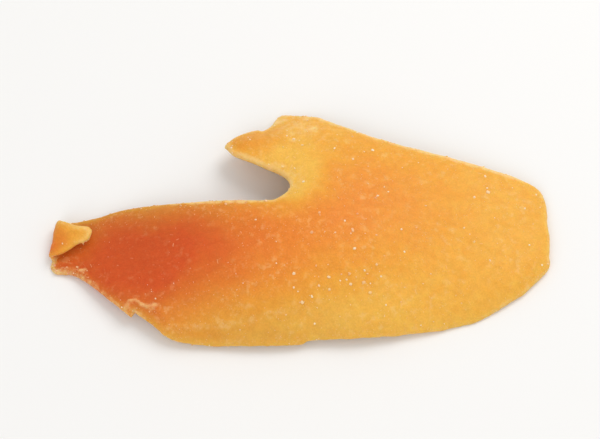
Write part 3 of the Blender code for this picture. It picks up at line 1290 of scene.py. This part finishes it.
@dataclass(frozen=True, kw_only=True)
class Speck(Finish):
    """A small thing on the slice, through which the flesh's colour shows more or less."""

    roughness_swing: float = 0.2
    ior: float = 1.5
    gloss: float = 0.4
    bump: float = 0.3
    bump_height: float = 0.03
    light_reach: Triple = (1.0, 0.8, 0.6)
    light_scale: float = 0.1
    light: Colour  # its own colour
    cover: Span  # how much that hides of the flesh's, at the least and at the most
    drift: Cloud = Cloud(1.7, 1.0)
    drift_edge: Span = (0.38, 0.62)
    fineness: float = 3.0  # its grain is this much finer than the flesh's

    def surface(self, nodes: Nodes, place: Socket, flesh: bpy.types.Node) -> Surface:
        """Draws what changes from one small thing to the next, and over its grain.

        Args:
            nodes: The material's tree.
            place: The place on the sheet.
            flesh: The flesh's colour there, and how golden it is.

        Returns:
            The colour, the roughness and the height.
        """
        grain = nodes.scaled(nodes.add("TexCoord").outputs["Object"], self.fineness / MM)
        skin = nodes.group(self.effects.skin, {"Place": grain}).outputs
        covered = nodes.rise(nodes.noise(place, self.drift), Rise(*self.drift_edge, *self.cover))
        return Surface(
            colour=nodes.mix(covered, flesh.outputs["Colour"], self.light),
            roughness=nodes.around(self.roughness, skin["Mottle"], self.roughness_swing),
            height=skin["Height"],
        )


@dataclass(frozen=True, kw_only=True)
class SugarCrystal(Speck):
    """A clear crystal of sugar."""

    name: str = "sugar_crystal"
    light: Colour = (0.97, 0.82, 0.58, 1.0)
    cover: Span = (0.35, 0.90)
    roughness: float = 0.35
    through: float = 0.2


@dataclass(frozen=True, kw_only=True)
class SugarDust(Speck):
    """A speck of very fine sugar."""

    name: str = "sugar_dust"
    light: Colour = (0.95, 0.72, 0.42, 1.0)
    cover: Span = (0.12, 0.60)
    roughness: float = 0.5
    through: float = 0.4


@dataclass(frozen=True, kw_only=True)
class PaleFibre(Speck):
    """A pale fibre of the flesh."""

    name: str = "pale_fibre"
    light: Colour = (0.94, 0.58, 0.28, 1.0)
    cover: Span = (0.08, 0.34)
    roughness: float = 0.5
    through: float = 0.5


@dataclass(frozen=True, kw_only=True)
class TornCrumb(Speck):
    """A sugared crumb of torn flesh."""

    name: str = "torn_crumb"
    light: Colour = (0.95, 0.68, 0.36, 1.0)
    cover: Span = (0.10, 0.70)
    roughness: float = 0.6
    through: float = 0.5


# ---------------------------------------------------------------------------------------------------------
# Meshes
# ---------------------------------------------------------------------------------------------------------


def mesh_piece(name: str, places: np.ndarray, faces: Sequence[Sequence[int]]) -> bpy.types.Object:
    """Makes a piece that is smooth shaded and rides on the slice's body, still bare.

    Args:
        name: The piece's name.
        places: Its vertices in mm.
        faces: Its faces.

    Returns:
        The piece.
    """
    mesh = bpy.data.meshes.new(name)
    mesh.from_pydata((places * MM).tolist(), [], [list(map(int, face)) for face in faces])
    mesh.validate()
    mesh.shade_smooth()
    piece = bpy.data.objects.new(name, mesh)
    bpy.context.scene.collection.objects.link(piece)
    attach(piece, BODY)
    return piece


def store(piece: bpy.types.Object, name: str, values: np.ndarray) -> None:
    """Stores a number or a vector at each point of a piece, for its finish to read.

    Args:
        piece: The piece.
        name: What the finish reads it by.
        values: A number or a vector for each point.
    """
    kind, key = ("FLOAT_VECTOR", "vector") if values.ndim == 2 else ("FLOAT", "value")
    attribute = piece.data.attributes.new(name, kind, "POINT")
    attribute.data.foreach_set(key, values.astype(np.float32).ravel())


@dataclass(eq=False)
class PapayaSlice:
    """The fine mesh of the slice: a flat sheet of points, whose two faces are lifted onto the form."""

    finish: CandiedFlesh
    form: SliceForm = SliceForm()
    name: str = "papaya_flesh_fine"
    step: float = 0.30  # how far apart the lattice's points lie
    rim_rows: tuple[float, ...] = (0.07, 0.17, 0.30, 0.46, 0.70)  # how far in the rows along the edge lie
    row_apart: float = 0.93  # a row keeps the points that lie at least this share of its depth in
    lattice_apart: float = 0.6  # how many steps the lattice keeps off the last row
    soft: float = 0.12  # how softly a foot meets the floor
    under_noise: float = 40.0  # how far off the outer face's noise the under face reads its own
    ring: np.ndarray = field(init=False)
    flat: np.ndarray = field(init=False)
    faces: np.ndarray = field(init=False)
    rim: np.ndarray = field(init=False)
    shift: np.ndarray = field(init=False)
    sides: dict[Side, np.ndarray] = field(init=False)

    def __post_init__(self) -> None:
        """Lays the sheet out and fits it to the frame."""
        self.ring = self.form.edge.ring(self.form.roll)
        self.flat, self.faces = self._triangulated()
        self.rim = self.rim_distance(self.flat)
        self.shift = np.zeros(3)
        loose = {side: self.place(self.flat, side) for side in Side}
        self.shift = self._shift_to_frame(np.vstack(list(loose.values())))
        self.sides = {side: self.settled(places + self.shift) for side, places in loose.items()}

    def rim_distance(self, points: np.ndarray) -> np.ndarray:
        """How far in from the cut edge flat points lie.

        Args:
            points: Flat points in mm.

        Returns:
            Distances in mm.
        """
        runs = np.roll(self.ring, -1, axis=0) - self.ring
        lengths = (runs**2).sum(axis=1)
        found = []
        for chunk in in_chunks(points):
            away = chunk[:, None] - self.ring[None]
            share = np.clip((away * runs).sum(axis=2) / lengths, 0.0, 1.0)
            found.append(np.linalg.norm(away - share[:, :, None] * runs, axis=2).min(axis=1))
        return np.concatenate(found)

    def inside(self, points: np.ndarray) -> np.ndarray:
        """Which flat points lie inside the cut edge.

        Args:
            points: Flat points in mm.

        Returns:
            True or False for each point.
        """
        x0, y0 = self.ring.T
        x1, y1 = np.roll(self.ring, -1, axis=0).T
        rise = np.where(y1 == y0, 1.0, y1 - y0)
        found = []
        for chunk in in_chunks(points):
            x, y = chunk[:, :1], chunk[:, 1:]
            crossing = x0 + (y - y0) * (x1 - x0) / rise
            crossed = ((y0 > y) != (y1 > y)) & (crossing > x)
            found.append(crossed.sum(axis=1) % 2 == 1)
        return np.concatenate(found)

    def place(self, points: np.ndarray, side: Side, lift: float | np.ndarray = 0.0) -> np.ndarray:
        """Places on one face of the slice.

        Args:
            points: Flat points in mm.
            side: Which face.
            lift: How far over that face, in mm.

        Returns:
            Places in mm, in the frame.
        """
        rim = self.rim_distance(points)
        out = self.form.half_thickness(points, rim) + self.form.relief(points, rim, side) + lift
        return self.form.middle(points) + side.way * out[:, None] * self.form.normals(points) + self.shift

    def settled(self, places: np.ndarray) -> np.ndarray:
        """Places in the frame, in mm, with those under the floor or just over it softly lifted."""
        height = self.soft * np.logaddexp(0.0, places[:, 2] / self.soft)
        return np.column_stack([places[:, :2], height])

    def build(self) -> bpy.types.Object:
        """Makes the piece, which stands for the CAD node. Its two faces share the ring's points.

        Returns:
            The piece, bare.
        """
        count, shared = len(self.flat), len(self.ring)
        under = np.concatenate([np.arange(shared), np.arange(count, 2 * count - shared)])
        places = self._both(self.sides[Side.OUTER], self.sides[Side.UNDER])
        piece = mesh_piece(self.name, places, np.vstack([self.faces, under[self.faces][:, ::-1]]))
        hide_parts(NODE)
        return piece

    def dress(self, piece: bpy.types.Object) -> None:
        """Gives the piece its finish, and what that reads from each point.

        Args:
            piece: The built piece.
        """
        sheets = (np.insert(self.flat, 2, layer, axis=1) for layer in (0.0, self.under_noise))
        store(piece, SHEET, self._both(*sheets))
        store(piece, RIM, self._both(self.rim, self.rim))
        store(piece, FROST, self._both(*(self.form.frost(self.flat, self.rim, side) for side in Side)))
        piece.data.materials.append(self.finish.build())

    def _both(self, outer: np.ndarray, under: np.ndarray) -> np.ndarray:
        """Values at the outer face's points, and then at those that only the under face has."""
        return np.concatenate([outer, under[len(self.ring) :]])

    def _triangulated(self) -> tuple[np.ndarray, np.ndarray]:
        """Fills the ring with rows of points along it and a lattice further in.

        Returns:
            The flat sheet's points, the ring first, and its triangles.
        """
        normals = outward(self.ring)
        rows = [self.ring]
        for depth in self.rim_rows:
            row = self.ring - depth * normals
            rows.append(row[self.rim_distance(row) > self.row_apart * depth])
        low, high = self.ring.min(axis=0), self.ring.max(axis=0)
        for k, y in enumerate(np.arange(low[1], high[1], self.step * TRIANGLE_HEIGHT)):
            x = np.arange(low[0] + (k % 2) * self.step / 2, high[0], self.step)
            row = np.column_stack([x, np.full_like(x, y)])
            row = row[self.inside(row)]
            rows.append(row[self.rim_distance(row) > self.rim_rows[-1] + self.lattice_apart * self.step])
        loop = list(range(len(self.ring)))
        points = [Vector(point) for point in np.vstack(rows)]
        made, _, faces, *_ = delaunay_2d_cdt(points, [], [loop], CDT_INSIDE, CDT_NEAR)
        return np.array([tuple(point) for point in made]), np.array(faces)

    def _shift_to_frame(self, places: np.ndarray) -> np.ndarray:
        """Finds the move that centres the slice on the CAD node, with its lowest foot pressed flat.

        Args:
            places: All its places in mm.

        Returns:
            The move in mm.
        """
        low, high = (np.array(corner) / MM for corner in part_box(NODE))
        shift = (low + high) / 2 - (places.min(axis=0) + places.max(axis=0)) / 2
        shift[2] = low[2] - places[:, 2].min() - self.form.foot_depth
        return shift


# ---------------------------------------------------------------------------------------------------------
# What lies on the slice
# ---------------------------------------------------------------------------------------------------------


@dataclass(frozen=True)
class NearRim:
    """Something that gathers along the cut edge: how strongly, and how far in."""

    share: float
    reach: float

    def weight(self, rim: np.ndarray) -> np.ndarray:
        """The share at these distances from the cut edge."""
        return self.share * np.exp(-((rim / self.reach) ** 2))


@dataclass(frozen=True)
class Sizes:
    """Random sizes in mm from the least one up, of which a high power keeps most small."""

    least: float
    spread: float
    power: float = 1.0

    def draw(self, random: np.random.Generator, count: int) -> np.ndarray:
        """Draws a number of sizes."""
        return self.least + self.spread * random.random(count) ** self.power


def shape_of(shape: bmesh.types.BMesh) -> Shape:
    """Reads a shape, and frees it.

    Args:
        shape: The shape.

    Returns:
        Its vertices and faces.
    """
    places = np.array([vertex.co for vertex in shape.verts])
    faces = [[vertex.index for vertex in face.verts] for face in shape.faces]
    shape.free()
    return places, faces


def crystal(chamfer: float = 0.16) -> Shape:
    """A crystal's shape: a cube, 1 across, with its edges cut off.

    Args:
        chamfer: How wide the cut is.

    Returns:
        The crystal's vertices and faces.
    """
    shape = bmesh.new()
    bmesh.ops.create_cube(shape, size=1.0)
    bmesh.ops.bevel(shape, geom=shape.edges[:], offset=chamfer, segments=1, affect="EDGES")
    return shape_of(shape)


def octahedron() -> Shape:
    """A speck's shape: eight triangles, 1 across."""
    places = UNIT_RADIUS * np.array([(1, 0, 0), (0, 1, 0), (-1, 0, 0), (0, -1, 0), (0, 0, 1), (0, 0, -1)])
    return places, [[k, (k + 1) % 4, 4] for k in range(4)] + [[(k + 1) % 4, k, 5] for k in range(4)]


def rough_ball(seed: int, rough: float = 0.44, lumps: float = 3.1, rounds: int = 2) -> Shape:
    """A crumb's shape: a ball, about 1 across, with an uneven skin.

    Args:
        seed: Which ball.
        rough: How uneven its skin is.
        lumps: About how many lumps the skin has across it.
        rounds: One more than how often an icosahedron's faces are cut in four to make it.

    Returns:
        The ball's vertices and faces.
    """
    shape = bmesh.new()
    bmesh.ops.create_icosphere(shape, subdivisions=rounds, radius=UNIT_RADIUS)
    places, faces = shape_of(shape)
    swell = [1 + rough * noise.noise(Vector(place) * lumps + Vector((seed, 0, 0))) for place in places]
    return places * np.array(swell)[:, None], faces


def tube_faces(rings: int, sides: int) -> Faces:
    """Faces of a closed tube whose vertices go ring by ring.

    Args:
        rings: How many rings.
        sides: How many vertices each has.

    Returns:
        The faces, with both ends closed.
    """
    faces = []
    for low in range(0, (rings - 1) * sides, sides):
        for k in range(sides):
            after = (k + 1) % sides
            faces.append([low + k, low + after, low + sides + after, low + sides + k])
    ends = [list(range(sides))[::-1], [(rings - 1) * sides + k for k in range(sides)]]
    return faces + ends


@dataclass(eq=False)
class Joined:
    """Collects small closed shapes for one mesh."""

    noise_apart: float = 0.13  # how far apart two shapes that follow each other read the flesh's noise
    places: list[np.ndarray] = field(default_factory=list)
    faces: Faces = field(default_factory=list)
    sheet: list[np.ndarray] = field(default_factory=list)
    count: int = 0

    def add(self, places: np.ndarray, faces: Faces, flat: np.ndarray) -> None:
        """Adds a shape.

        Args:
            places: Its vertices in mm.
            faces: Its faces.
            flat: The flat point that it sits on, whose flesh colour shows through it.
        """
        self.faces += [[index + self.count for index in face] for face in faces]
        self.sheet.append(np.tile((*flat, self.noise_apart * len(self.places)), (len(places), 1)))
        self.places.append(places)
        self.count += len(places)


@dataclass(eq=False, kw_only=True)
class Scatter:
    """Small shapes of one kind at seeded places on the slice. Each kind says where they gather."""

    papaya: PapayaSlice
    finish: Speck
    name: str
    seed: int
    tipped: float = 0.35  # about how far shapes tip, as a slope
    squash: tuple[Triple, Triple] = ((1.0, 1.0, 1.0), (1.0, 1.0, 1.0))  # least and most along three axes
    deep_in: float = 3.0  # how far in from the cut edge they read the flesh's colour, off its golden rim
    random: np.random.Generator = field(init=False)
    joined: Joined = field(init=False)

    def __post_init__(self) -> None:
        """Starts the draws."""
        self.random = np.random.default_rng(self.seed)
        self.joined = Joined()

    def weight(self, points: np.ndarray, rim: np.ndarray) -> np.ndarray:
        """How closely the shapes lie at flat points, by how far in from the cut edge each point is."""
        raise NotImplementedError

    def fill(self) -> None:
        """Draws all shapes into what is joined."""
        raise NotImplementedError

    def build(self) -> bpy.types.Object:
        """Makes the piece, with nothing of it under the floor.

        Returns:
            The piece, bare.
        """
        self.fill()
        places = np.vstack(self.joined.places)
        places[:, 2] = np.maximum(places[:, 2], 0.0)
        return mesh_piece(self.name, places, self.joined.faces)

    def dress(self, piece: bpy.types.Object) -> None:
        """Gives the piece its finish, and what that reads from each point.

        Args:
            piece: The built piece.
        """
        store(piece, SHEET, np.vstack(self.joined.sheet))
        store(piece, RIM, np.full(self.joined.count, self.deep_in))
        piece.data.materials.append(self.finish.build())

    def spread(self, count: int) -> np.ndarray:
        """Draws flat points, more of them where the weight is high.

        Args:
            count: How many.

        Returns:
            The flat points in mm.
        """
        corners = self.papaya.flat[self.papaya.faces]
        first, second = corners[:, 1] - corners[:, 0], corners[:, 2] - corners[:, 0]
        area = np.abs(first[:, 0] * second[:, 1] - first[:, 1] * second[:, 0])
        chance = area * self.weight(corners.mean(axis=1), self.papaya.rim[self.papaya.faces].mean(axis=1))
        chosen = self.random.choice(len(corners), count, p=chance / chance.sum())
        shares = self.random.dirichlet((1, 1, 1), count)
        return (corners[chosen] * shares[:, :, None]).sum(axis=1)

    def stick(
        self, shapes: list[Shape], flat: np.ndarray, sizes: np.ndarray, sunk: np.ndarray, side: Side
    ) -> None:
        """Sets shapes on one face, each sunk in a little and turned at random.

        Args:
            shapes: Shapes about 1 across, which are used in turn.
            flat: The flat point that each sits on.
            sizes: The size of each in mm.
            sunk: How deep the middle of each is sunk in, in mm.
            side: Which face.
        """
        centres = self.papaya.settled(self.papaya.place(flat, side, -sunk))
        normals = side.way * self.papaya.form.normals(flat)
        for k, (centre, normal, size, own) in enumerate(zip(centres, normals, sizes, flat)):
            places, faces = shapes[k % len(shapes)]
            squashed = places * size * self.squashed()
            self.joined.add(centre + squashed @ self.turned(normal), faces, own)

    def squashed(self) -> np.ndarray:
        """A shape's own random sizes along its three axes, in shares of its size."""
        return self.random.uniform(*self.squash)

    def turned(self, normal: np.ndarray) -> np.ndarray:
        """Draws how a shape lies: turned about the surface's normal, and tipped a little.

        Args:
            normal: The way out of the surface.

        Returns:
            The shape's three axes.
        """
        tipped = normal + self.random.normal(0, self.tipped, 3)
        up = tipped / np.linalg.norm(tipped)
        side = np.cross(up, self.random.normal(size=3))
        side /= np.linalg.norm(side)
        return np.array([side, np.cross(up, side), up])


@dataclass(eq=False, kw_only=True)
class SugarGrains(Scatter):
    """Sugar crystals that stuck to the slice: a few large ones in clusters, and fine ones all over."""

    name: str = "sugar_grains"
    seed: int = 11
    squash: tuple[Triple, Triple] = ((0.8, 0.7, 0.35), (1.3, 1.0, 0.55))
    small: int = 260
    under: int = 90  # how many of the small ones stick to the under face
    large: tuple[Spot, ...] = (
        *((0.8, 6.6), (2.0, -2.4)),  # the middle
        *((8.0, -10.1), (10.0, -9.8), (7.9, -8.6), (10.1, -8.0), (11.0, -11.3)),  # a cluster over the belly
        *((4.6, -9.1), (3.1, -10.4), (4.7, -10.9), (2.0, -11.9), (0.5, -12.7)),  # its tail to the left
        *((-0.8, -8.7), (12.0, -7.0), (8.6, -4.7), (8.3, -1.8)),  # and the few above it
        *((-2.6, 9.8), (-0.8, 14.9), (1.5, 19.8)),  # the lobe
        *((11.8, 13.0), (27.9, 5.4), (30.3, 6.6)),  # the back edge
        *((39.6, -5.0), (-38.9, -5.0)),  # both ends
    )
    large_sizes: Sizes = Sizes(0.36, 0.19)
    small_sizes: Sizes = Sizes(0.13, 0.25, 2.0)
    sunk: float = 0.02  # how deep their middles lie, in shares of their size
    everywhere: float = 0.55
    along_rim: NearRim = NearRim(3.0, 0.7)
    clusters: tuple[Cluster, ...] = (
        Cluster((7.0, -10.0), (6.0, 2.6), 6.0),
        Cluster((0.0, 17.0), (5.0, 4.0), 3.0),
        Cluster((9.0, -3.0), (5.0, 6.0), 2.0),
        Cluster((-36.0, -5.5), (4.0, 2.0), 2.0),
        Cluster((-24.0, -12.5), (4.5, 2.0), 1.0),
    )
    bare: Cluster = Cluster(*HEART, 1.0)

    def weight(self, points: np.ndarray, rim: np.ndarray) -> np.ndarray:
        """More grains in the clusters and along the cut edge, and hardly any on the heart.

        Args:
            points: Flat points in mm.
            rim: How far in from the cut edge each lies.

        Returns:
            A weight for each point.
        """
        found = self.everywhere + self.along_rim.weight(rim)
        found = found + sum(cluster.weight(points) for cluster in self.clusters)
        return found * (1 - self.bare.weight(points))

    def fill(self) -> None:
        """Draws the large grains and the small ones, of which the last stick to the under face."""
        flat = np.vstack([np.array(self.large), self.spread(self.small)])
        large = self.large_sizes.draw(self.random, len(self.large))
        sizes = np.concatenate([large, self.small_sizes.draw(self.random, self.small)])
        outer = len(flat) - self.under
        for side, own in ((Side.OUTER, slice(0, outer)), (Side.UNDER, slice(outer, None))):
            self.stick([crystal()], flat[own], sizes[own], self.sunk * sizes[own], side)


@dataclass(eq=False, kw_only=True)
class SugarFrost(Scatter):
    """Very fine sugar, eight-sided specks that make the flesh look dusted."""

    name: str = "sugar_frost"
    seed: int = 12
    count: int = 3600
    sizes: Sizes = Sizes(0.08, 0.15, 2.0)
    flatness: Triple = (1.0, 1.0, 0.7)
    sunk: float = 0.01  # how deep their middles lie, in mm
    drifts: Ripple = Ripple((5.0, 4.0), 1.3, 31.0)
    everywhere: float = 0.5
    least: float = 0.05  # between the drifts
    along_rim: NearRim = NearRim(1.6, 1.0)
    on_creases: float = 5.0
    bare: Cluster = Cluster(*HEART, 0.98)

    def weight(self, points: np.ndarray, rim: np.ndarray) -> np.ndarray:
        """Drifts of frost, thicker on the creases and along the cut edge, and very thin on the heart.

        Args:
            points: Flat points in mm.
            rim: How far in from the cut edge each lies.

        Returns:
            A weight for each point.
        """
        drifts = np.maximum(self.everywhere + self.drifts.at(points), self.least)
        creases = sum(crease.whitened(points) for crease in self.papaya.form.creases())
        found = drifts + self.along_rim.weight(rim) + self.on_creases * creases
        return found * (1 - self.bare.weight(points))

    def fill(self) -> None:
        """Draws the specks."""
        flat = self.spread(self.count)
        sizes = self.sizes.draw(self.random, self.count)
        self.stick([octahedron()], flat, sizes, np.full(self.count, self.sunk), Side.OUTER)

    def squashed(self) -> np.ndarray:
        """A speck's sizes along its three axes: all are a little flat."""
        return np.array(self.flatness)


@dataclass(eq=False, kw_only=True)
class FleshFibres(Scatter):
    """Short pale fibres, mostly sunk in the outer face."""

    name: str = "flesh_fibres"
    seed: int = 13
    count: int = 84
    sides: int = 6
    rings: int = 9
    length: Span = (0.6, 1.7)
    radius: Span = (0.10, 0.17)
    heading: float = math.radians(-50)
    heading_spread: float = 0.9
    bend: float = 0.5
    sunk: float = 0.74  # how deep their middles lie, in shares of their radius
    off_rim: float = 0.5  # how far from the cut edge all of a fibre lies
    start_off_rim: float = 1.0  # and its middle
    everywhere: float = 0.12
    heart: Cluster = Cluster((-14.0, -2.0), (11.0, 6.0), 1.0)
    lobe: Cluster = Cluster((1.0, 15.0), (8.0, 5.0), 1.4)
    ends: Span = (0.06, 0.94)  # the part of a whole spindle that a fibre keeps
    blunt: float = 0.6  # under 1, it is blunter than a spindle

    def weight(self, points: np.ndarray, rim: np.ndarray) -> np.ndarray:
        """Fibres gather over the red heart and the lobe, and stay off the rim."""
        found = self.everywhere + self.heart.weight(points) + self.lobe.weight(points)
        return found * (rim > self.start_off_rim)

    def fill(self) -> None:
        """Draws the fibres."""
        for start in self.spread(self.count):
            self._strand(start)

    def _strand(self, start: np.ndarray) -> None:
        """Adds one tapered strand that follows the outer face, unless it would leave it.

        Args:
            start: The flat point at its middle.
        """
        length = self.random.uniform(*self.length)
        radius = self.random.uniform(*self.radius)
        heading = self.random.normal(self.heading, self.heading_spread)
        bend = self.random.normal(0, self.bend)
        share = np.linspace(0.0, 1.0, self.rings)
        turn = heading + bend * share
        steps = np.column_stack([np.cos(turn), np.sin(turn)]) * length / self.rings
        flat = start + np.cumsum(steps, axis=0) - steps.sum(axis=0) / 2
        if self.papaya.rim_distance(flat).min() < self.off_rim or not self.papaya.inside(flat).all():
            return
        centres = self.papaya.place(flat, Side.OUTER, -self.sunk * radius)
        normals = self.papaya.form.normals(flat)
        runs = np.gradient(centres, axis=0)
        across = np.cross(runs / np.linalg.norm(runs, axis=1)[:, None], normals)
        taper = radius * np.sin(math.pi * np.linspace(*self.ends, self.rings)) ** self.blunt
        rings = [
            centre + thick * (math.cos(angle) * side + math.sin(angle) * up)
            for centre, side, up, thick in zip(centres, across, normals, taper)
            for angle in np.arange(self.sides) * math.tau / self.sides
        ]
        self.joined.add(np.array(rings), tube_faces(self.rings, self.sides), start)


@dataclass(eq=False, kw_only=True)
class EdgeCrumbs(Scatter):
    """Crumbs of torn flesh and sugar, along the tears and here and there on the back edge."""

    name: str = "edge_crumbs"
    seed: int = 14
    squash: tuple[Triple, Triple] = ((0.9, 0.6, 0.5), (1.6, 1.0, 0.8))
    count: int = 190
    kinds: int = 5  # how many shapes they come in
    sizes: Sizes = Sizes(0.14, 0.28, 1.5)
    sunk: float = 0.16  # how deep their middles lie, in shares of their size
    along_rim: NearRim = NearRim(0.10, 0.5)
    near_tears: NearRim = NearRim(1.0, 1.6)
    tears: tuple[Cluster, ...] = (
        Cluster((-35.0, -6.2), (3.0, 1.2), 5.0),  # below the toe
        Cluster((-38.9, -6.0), (1.2, 0.8), 5.0),  # the toe's end
        Cluster((-26.0, -13.6), (2.0, 1.2), 3.0),  # the burr
        Cluster((-21.0, -14.2), (2.5, 0.8), 2.0),
        Cluster((-45.5, 2.0), (4.0, 3.0), 3.0),  # the flap's end
        Cluster((0.0, 21.4), (6.0, 1.2), 2.0),  # the lobe
        Cluster((-9.0, 16.5), (4.0, 2.0), 1.5),  # the hook
        Cluster((-14.0, 4.2), (9.0, 1.0), 2.2),  # the back edge, left of the notch and right of the lobe
        Cluster((12.0, 16.8), (7.0, 2.0), 1.2),
        Cluster((27.0, 12.8), (7.0, 2.0), 0.8),
    )

    def weight(self, points: np.ndarray, rim: np.ndarray) -> np.ndarray:
        """Crumbs lie on the tears, close to the cut edge."""
        tears = sum(tear.weight(points) for tear in self.tears)
        return self.along_rim.weight(rim) + self.near_tears.weight(rim) * tears

    def fill(self) -> None:
        """Draws the crumbs."""
        flat = self.spread(self.count)
        sizes = self.sizes.draw(self.random, self.count)
        balls = [rough_ball(kind) for kind in range(self.kinds)]
        self.stick(balls, flat, sizes, self.sunk * sizes, Side.OUTER)


# ---------------------------------------------------------------------------------------------------------
# Studio
# ---------------------------------------------------------------------------------------------------------


def look_at(
    thing: bpy.types.Object, target: Vector, azimuth: float, elevation: float, distance: float
) -> None:
    """Adds a light or the camera to the scene, round its target and turned to it.

    Args:
        thing: The light or the camera.
        target: What it looks at.
        azimuth: Its place round the target in degrees: 0 in front, and 90 to the right.
        elevation: How steeply it looks down, in degrees.
        distance: How far from the target it is, in metres.
    """
    around, over = math.radians(azimuth), math.radians(elevation)
    away = Vector((math.sin(around) * math.cos(over), -math.cos(around) * math.cos(over), math.sin(over)))
    thing.location = target + away * distance
    thing.rotation_euler = (-away).to_track_quat("-Z", "Y").to_euler()
    bpy.context.scene.collection.objects.link(thing)


@dataclass(frozen=True, kw_only=True)
class SoftLight:
    """A square soft light."""

    name: str
    azimuth: float
    elevation: float
    distance: float
    size: float
    power: float

    def build(self, target: Vector) -> None:
        """Makes the light and places it.

        Args:
            target: What it looks at.
        """
        lamp = bpy.data.lights.new(self.name, "AREA")
        lamp.energy = self.power
        lamp.size = self.size
        look_at(bpy.data.objects.new(self.name, lamp), target, self.azimuth, self.elevation, self.distance)


@dataclass(frozen=True)
class Studio:
    """A pale floor, soft lights, a pale world and the camera."""

    floor_size: float = 3.0
    floor_colour: Colour = (0.90, 0.895, 0.885, 1.0)
    floor_roughness: float = 0.7
    floor_gloss: float = 0.2
    world_colour: Colour = (1.0, 0.99, 0.975, 1.0)
    world_strength: float = 0.66
    camera_azimuth: float = 0.0
    camera_elevation: float = 65.0
    camera_distance: float = 0.29
    fill: float = 0.84  # the share of the picture's width that the slice takes up
    sensor: float = 36.0
    clip: Span = (0.01, 20.0)
    lights: tuple[SoftLight, ...] = (
        SoftLight(name="key_light", azimuth=140, elevation=52, distance=0.55, size=0.32, power=1.25),
        SoftLight(name="fill_light", azimuth=-25, elevation=38, distance=0.6, size=0.4, power=0.75),
    )

    def build(self, box: Box) -> None:
        """Builds the studio round a box.

        Args:
            box: What stands in it.
        """
        low, high = box
        middle = (low + high) / 2
        self._floor(low.z)
        self._world()
        for light in self.lights:
            light.build(middle)
        self._camera(middle, high.x - low.x)
        bpy.context.scene.view_settings.view_transform = "Standard"

    def _floor(self, height: float) -> None:
        """Makes a wide plain floor that the slice lies on.

        Args:
            height: Where its surface lies, in metres.
        """
        half = self.floor_size / 2
        corners = [(x * half, y * half, height) for x, y in ((-1, -1), (1, -1), (1, 1), (-1, 1))]
        mesh = bpy.data.meshes.new("floor")
        mesh.from_pydata(corners, [], [(0, 1, 2, 3)])
        floor = bpy.data.objects.new("floor", mesh)
        bpy.context.scene.collection.objects.link(floor)
        material = bpy.data.materials.new("pale_floor")
        material.use_nodes = True
        inputs = material.node_tree.nodes["Principled BSDF"].inputs
        inputs["Base Color"].default_value = self.floor_colour
        inputs["Roughness"].default_value = self.floor_roughness
        inputs["Specular IOR Level"].default_value = self.floor_gloss
        mesh.materials.append(material)

    def _world(self) -> None:
        """Makes even pale light from all round."""
        world = bpy.data.worlds.new("pale_world")
        world.use_nodes = True
        inputs = world.node_tree.nodes["Background"].inputs
        inputs["Color"].default_value = self.world_colour
        inputs["Strength"].default_value = self.world_strength
        bpy.context.scene.world = world

    def _camera(self, target: Vector, width: float) -> None:
        """Makes the camera, which looks down on the slice.

        Args:
            target: What it looks at.
            width: How wide the slice is, in metres.
        """
        data = bpy.data.cameras.new("camera")
        data.sensor_width = self.sensor
        data.lens = self.sensor * self.camera_distance * self.fill / width
        data.clip_start, data.clip_end = self.clip
        camera = bpy.data.objects.new("camera", data)
        look_at(camera, target, self.camera_azimuth, self.camera_elevation, self.camera_distance)
        bpy.context.scene.camera = camera


def main() -> None:
    """Builds and dresses the slice and what lies on it, reports each piece, and sets up the studio."""
    logging.basicConfig(level=logging.INFO, format="%(name)s: %(message)s")
    effects = Effects.drawn()
    papaya = PapayaSlice(CandiedFlesh(effects=effects))
    for part in (
        papaya,
        SugarGrains(papaya=papaya, finish=SugarCrystal(effects=effects)),
        SugarFrost(papaya=papaya, finish=SugarDust(effects=effects)),
        FleshFibres(papaya=papaya, finish=PaleFibre(effects=effects)),
        EdgeCrumbs(papaya=papaya, finish=TornCrumb(effects=effects)),
    ):
        piece = part.build()
        part.dress(piece)
        LOG.info("%s: %d faces", piece.name, len(piece.data.polygons))
    studio = Studio()
    studio.build(CAD_BOX)
    LOG.info("studio: floor, %d lights and camera", len(studio.lights))


if __name__ == "__main__":
    main()
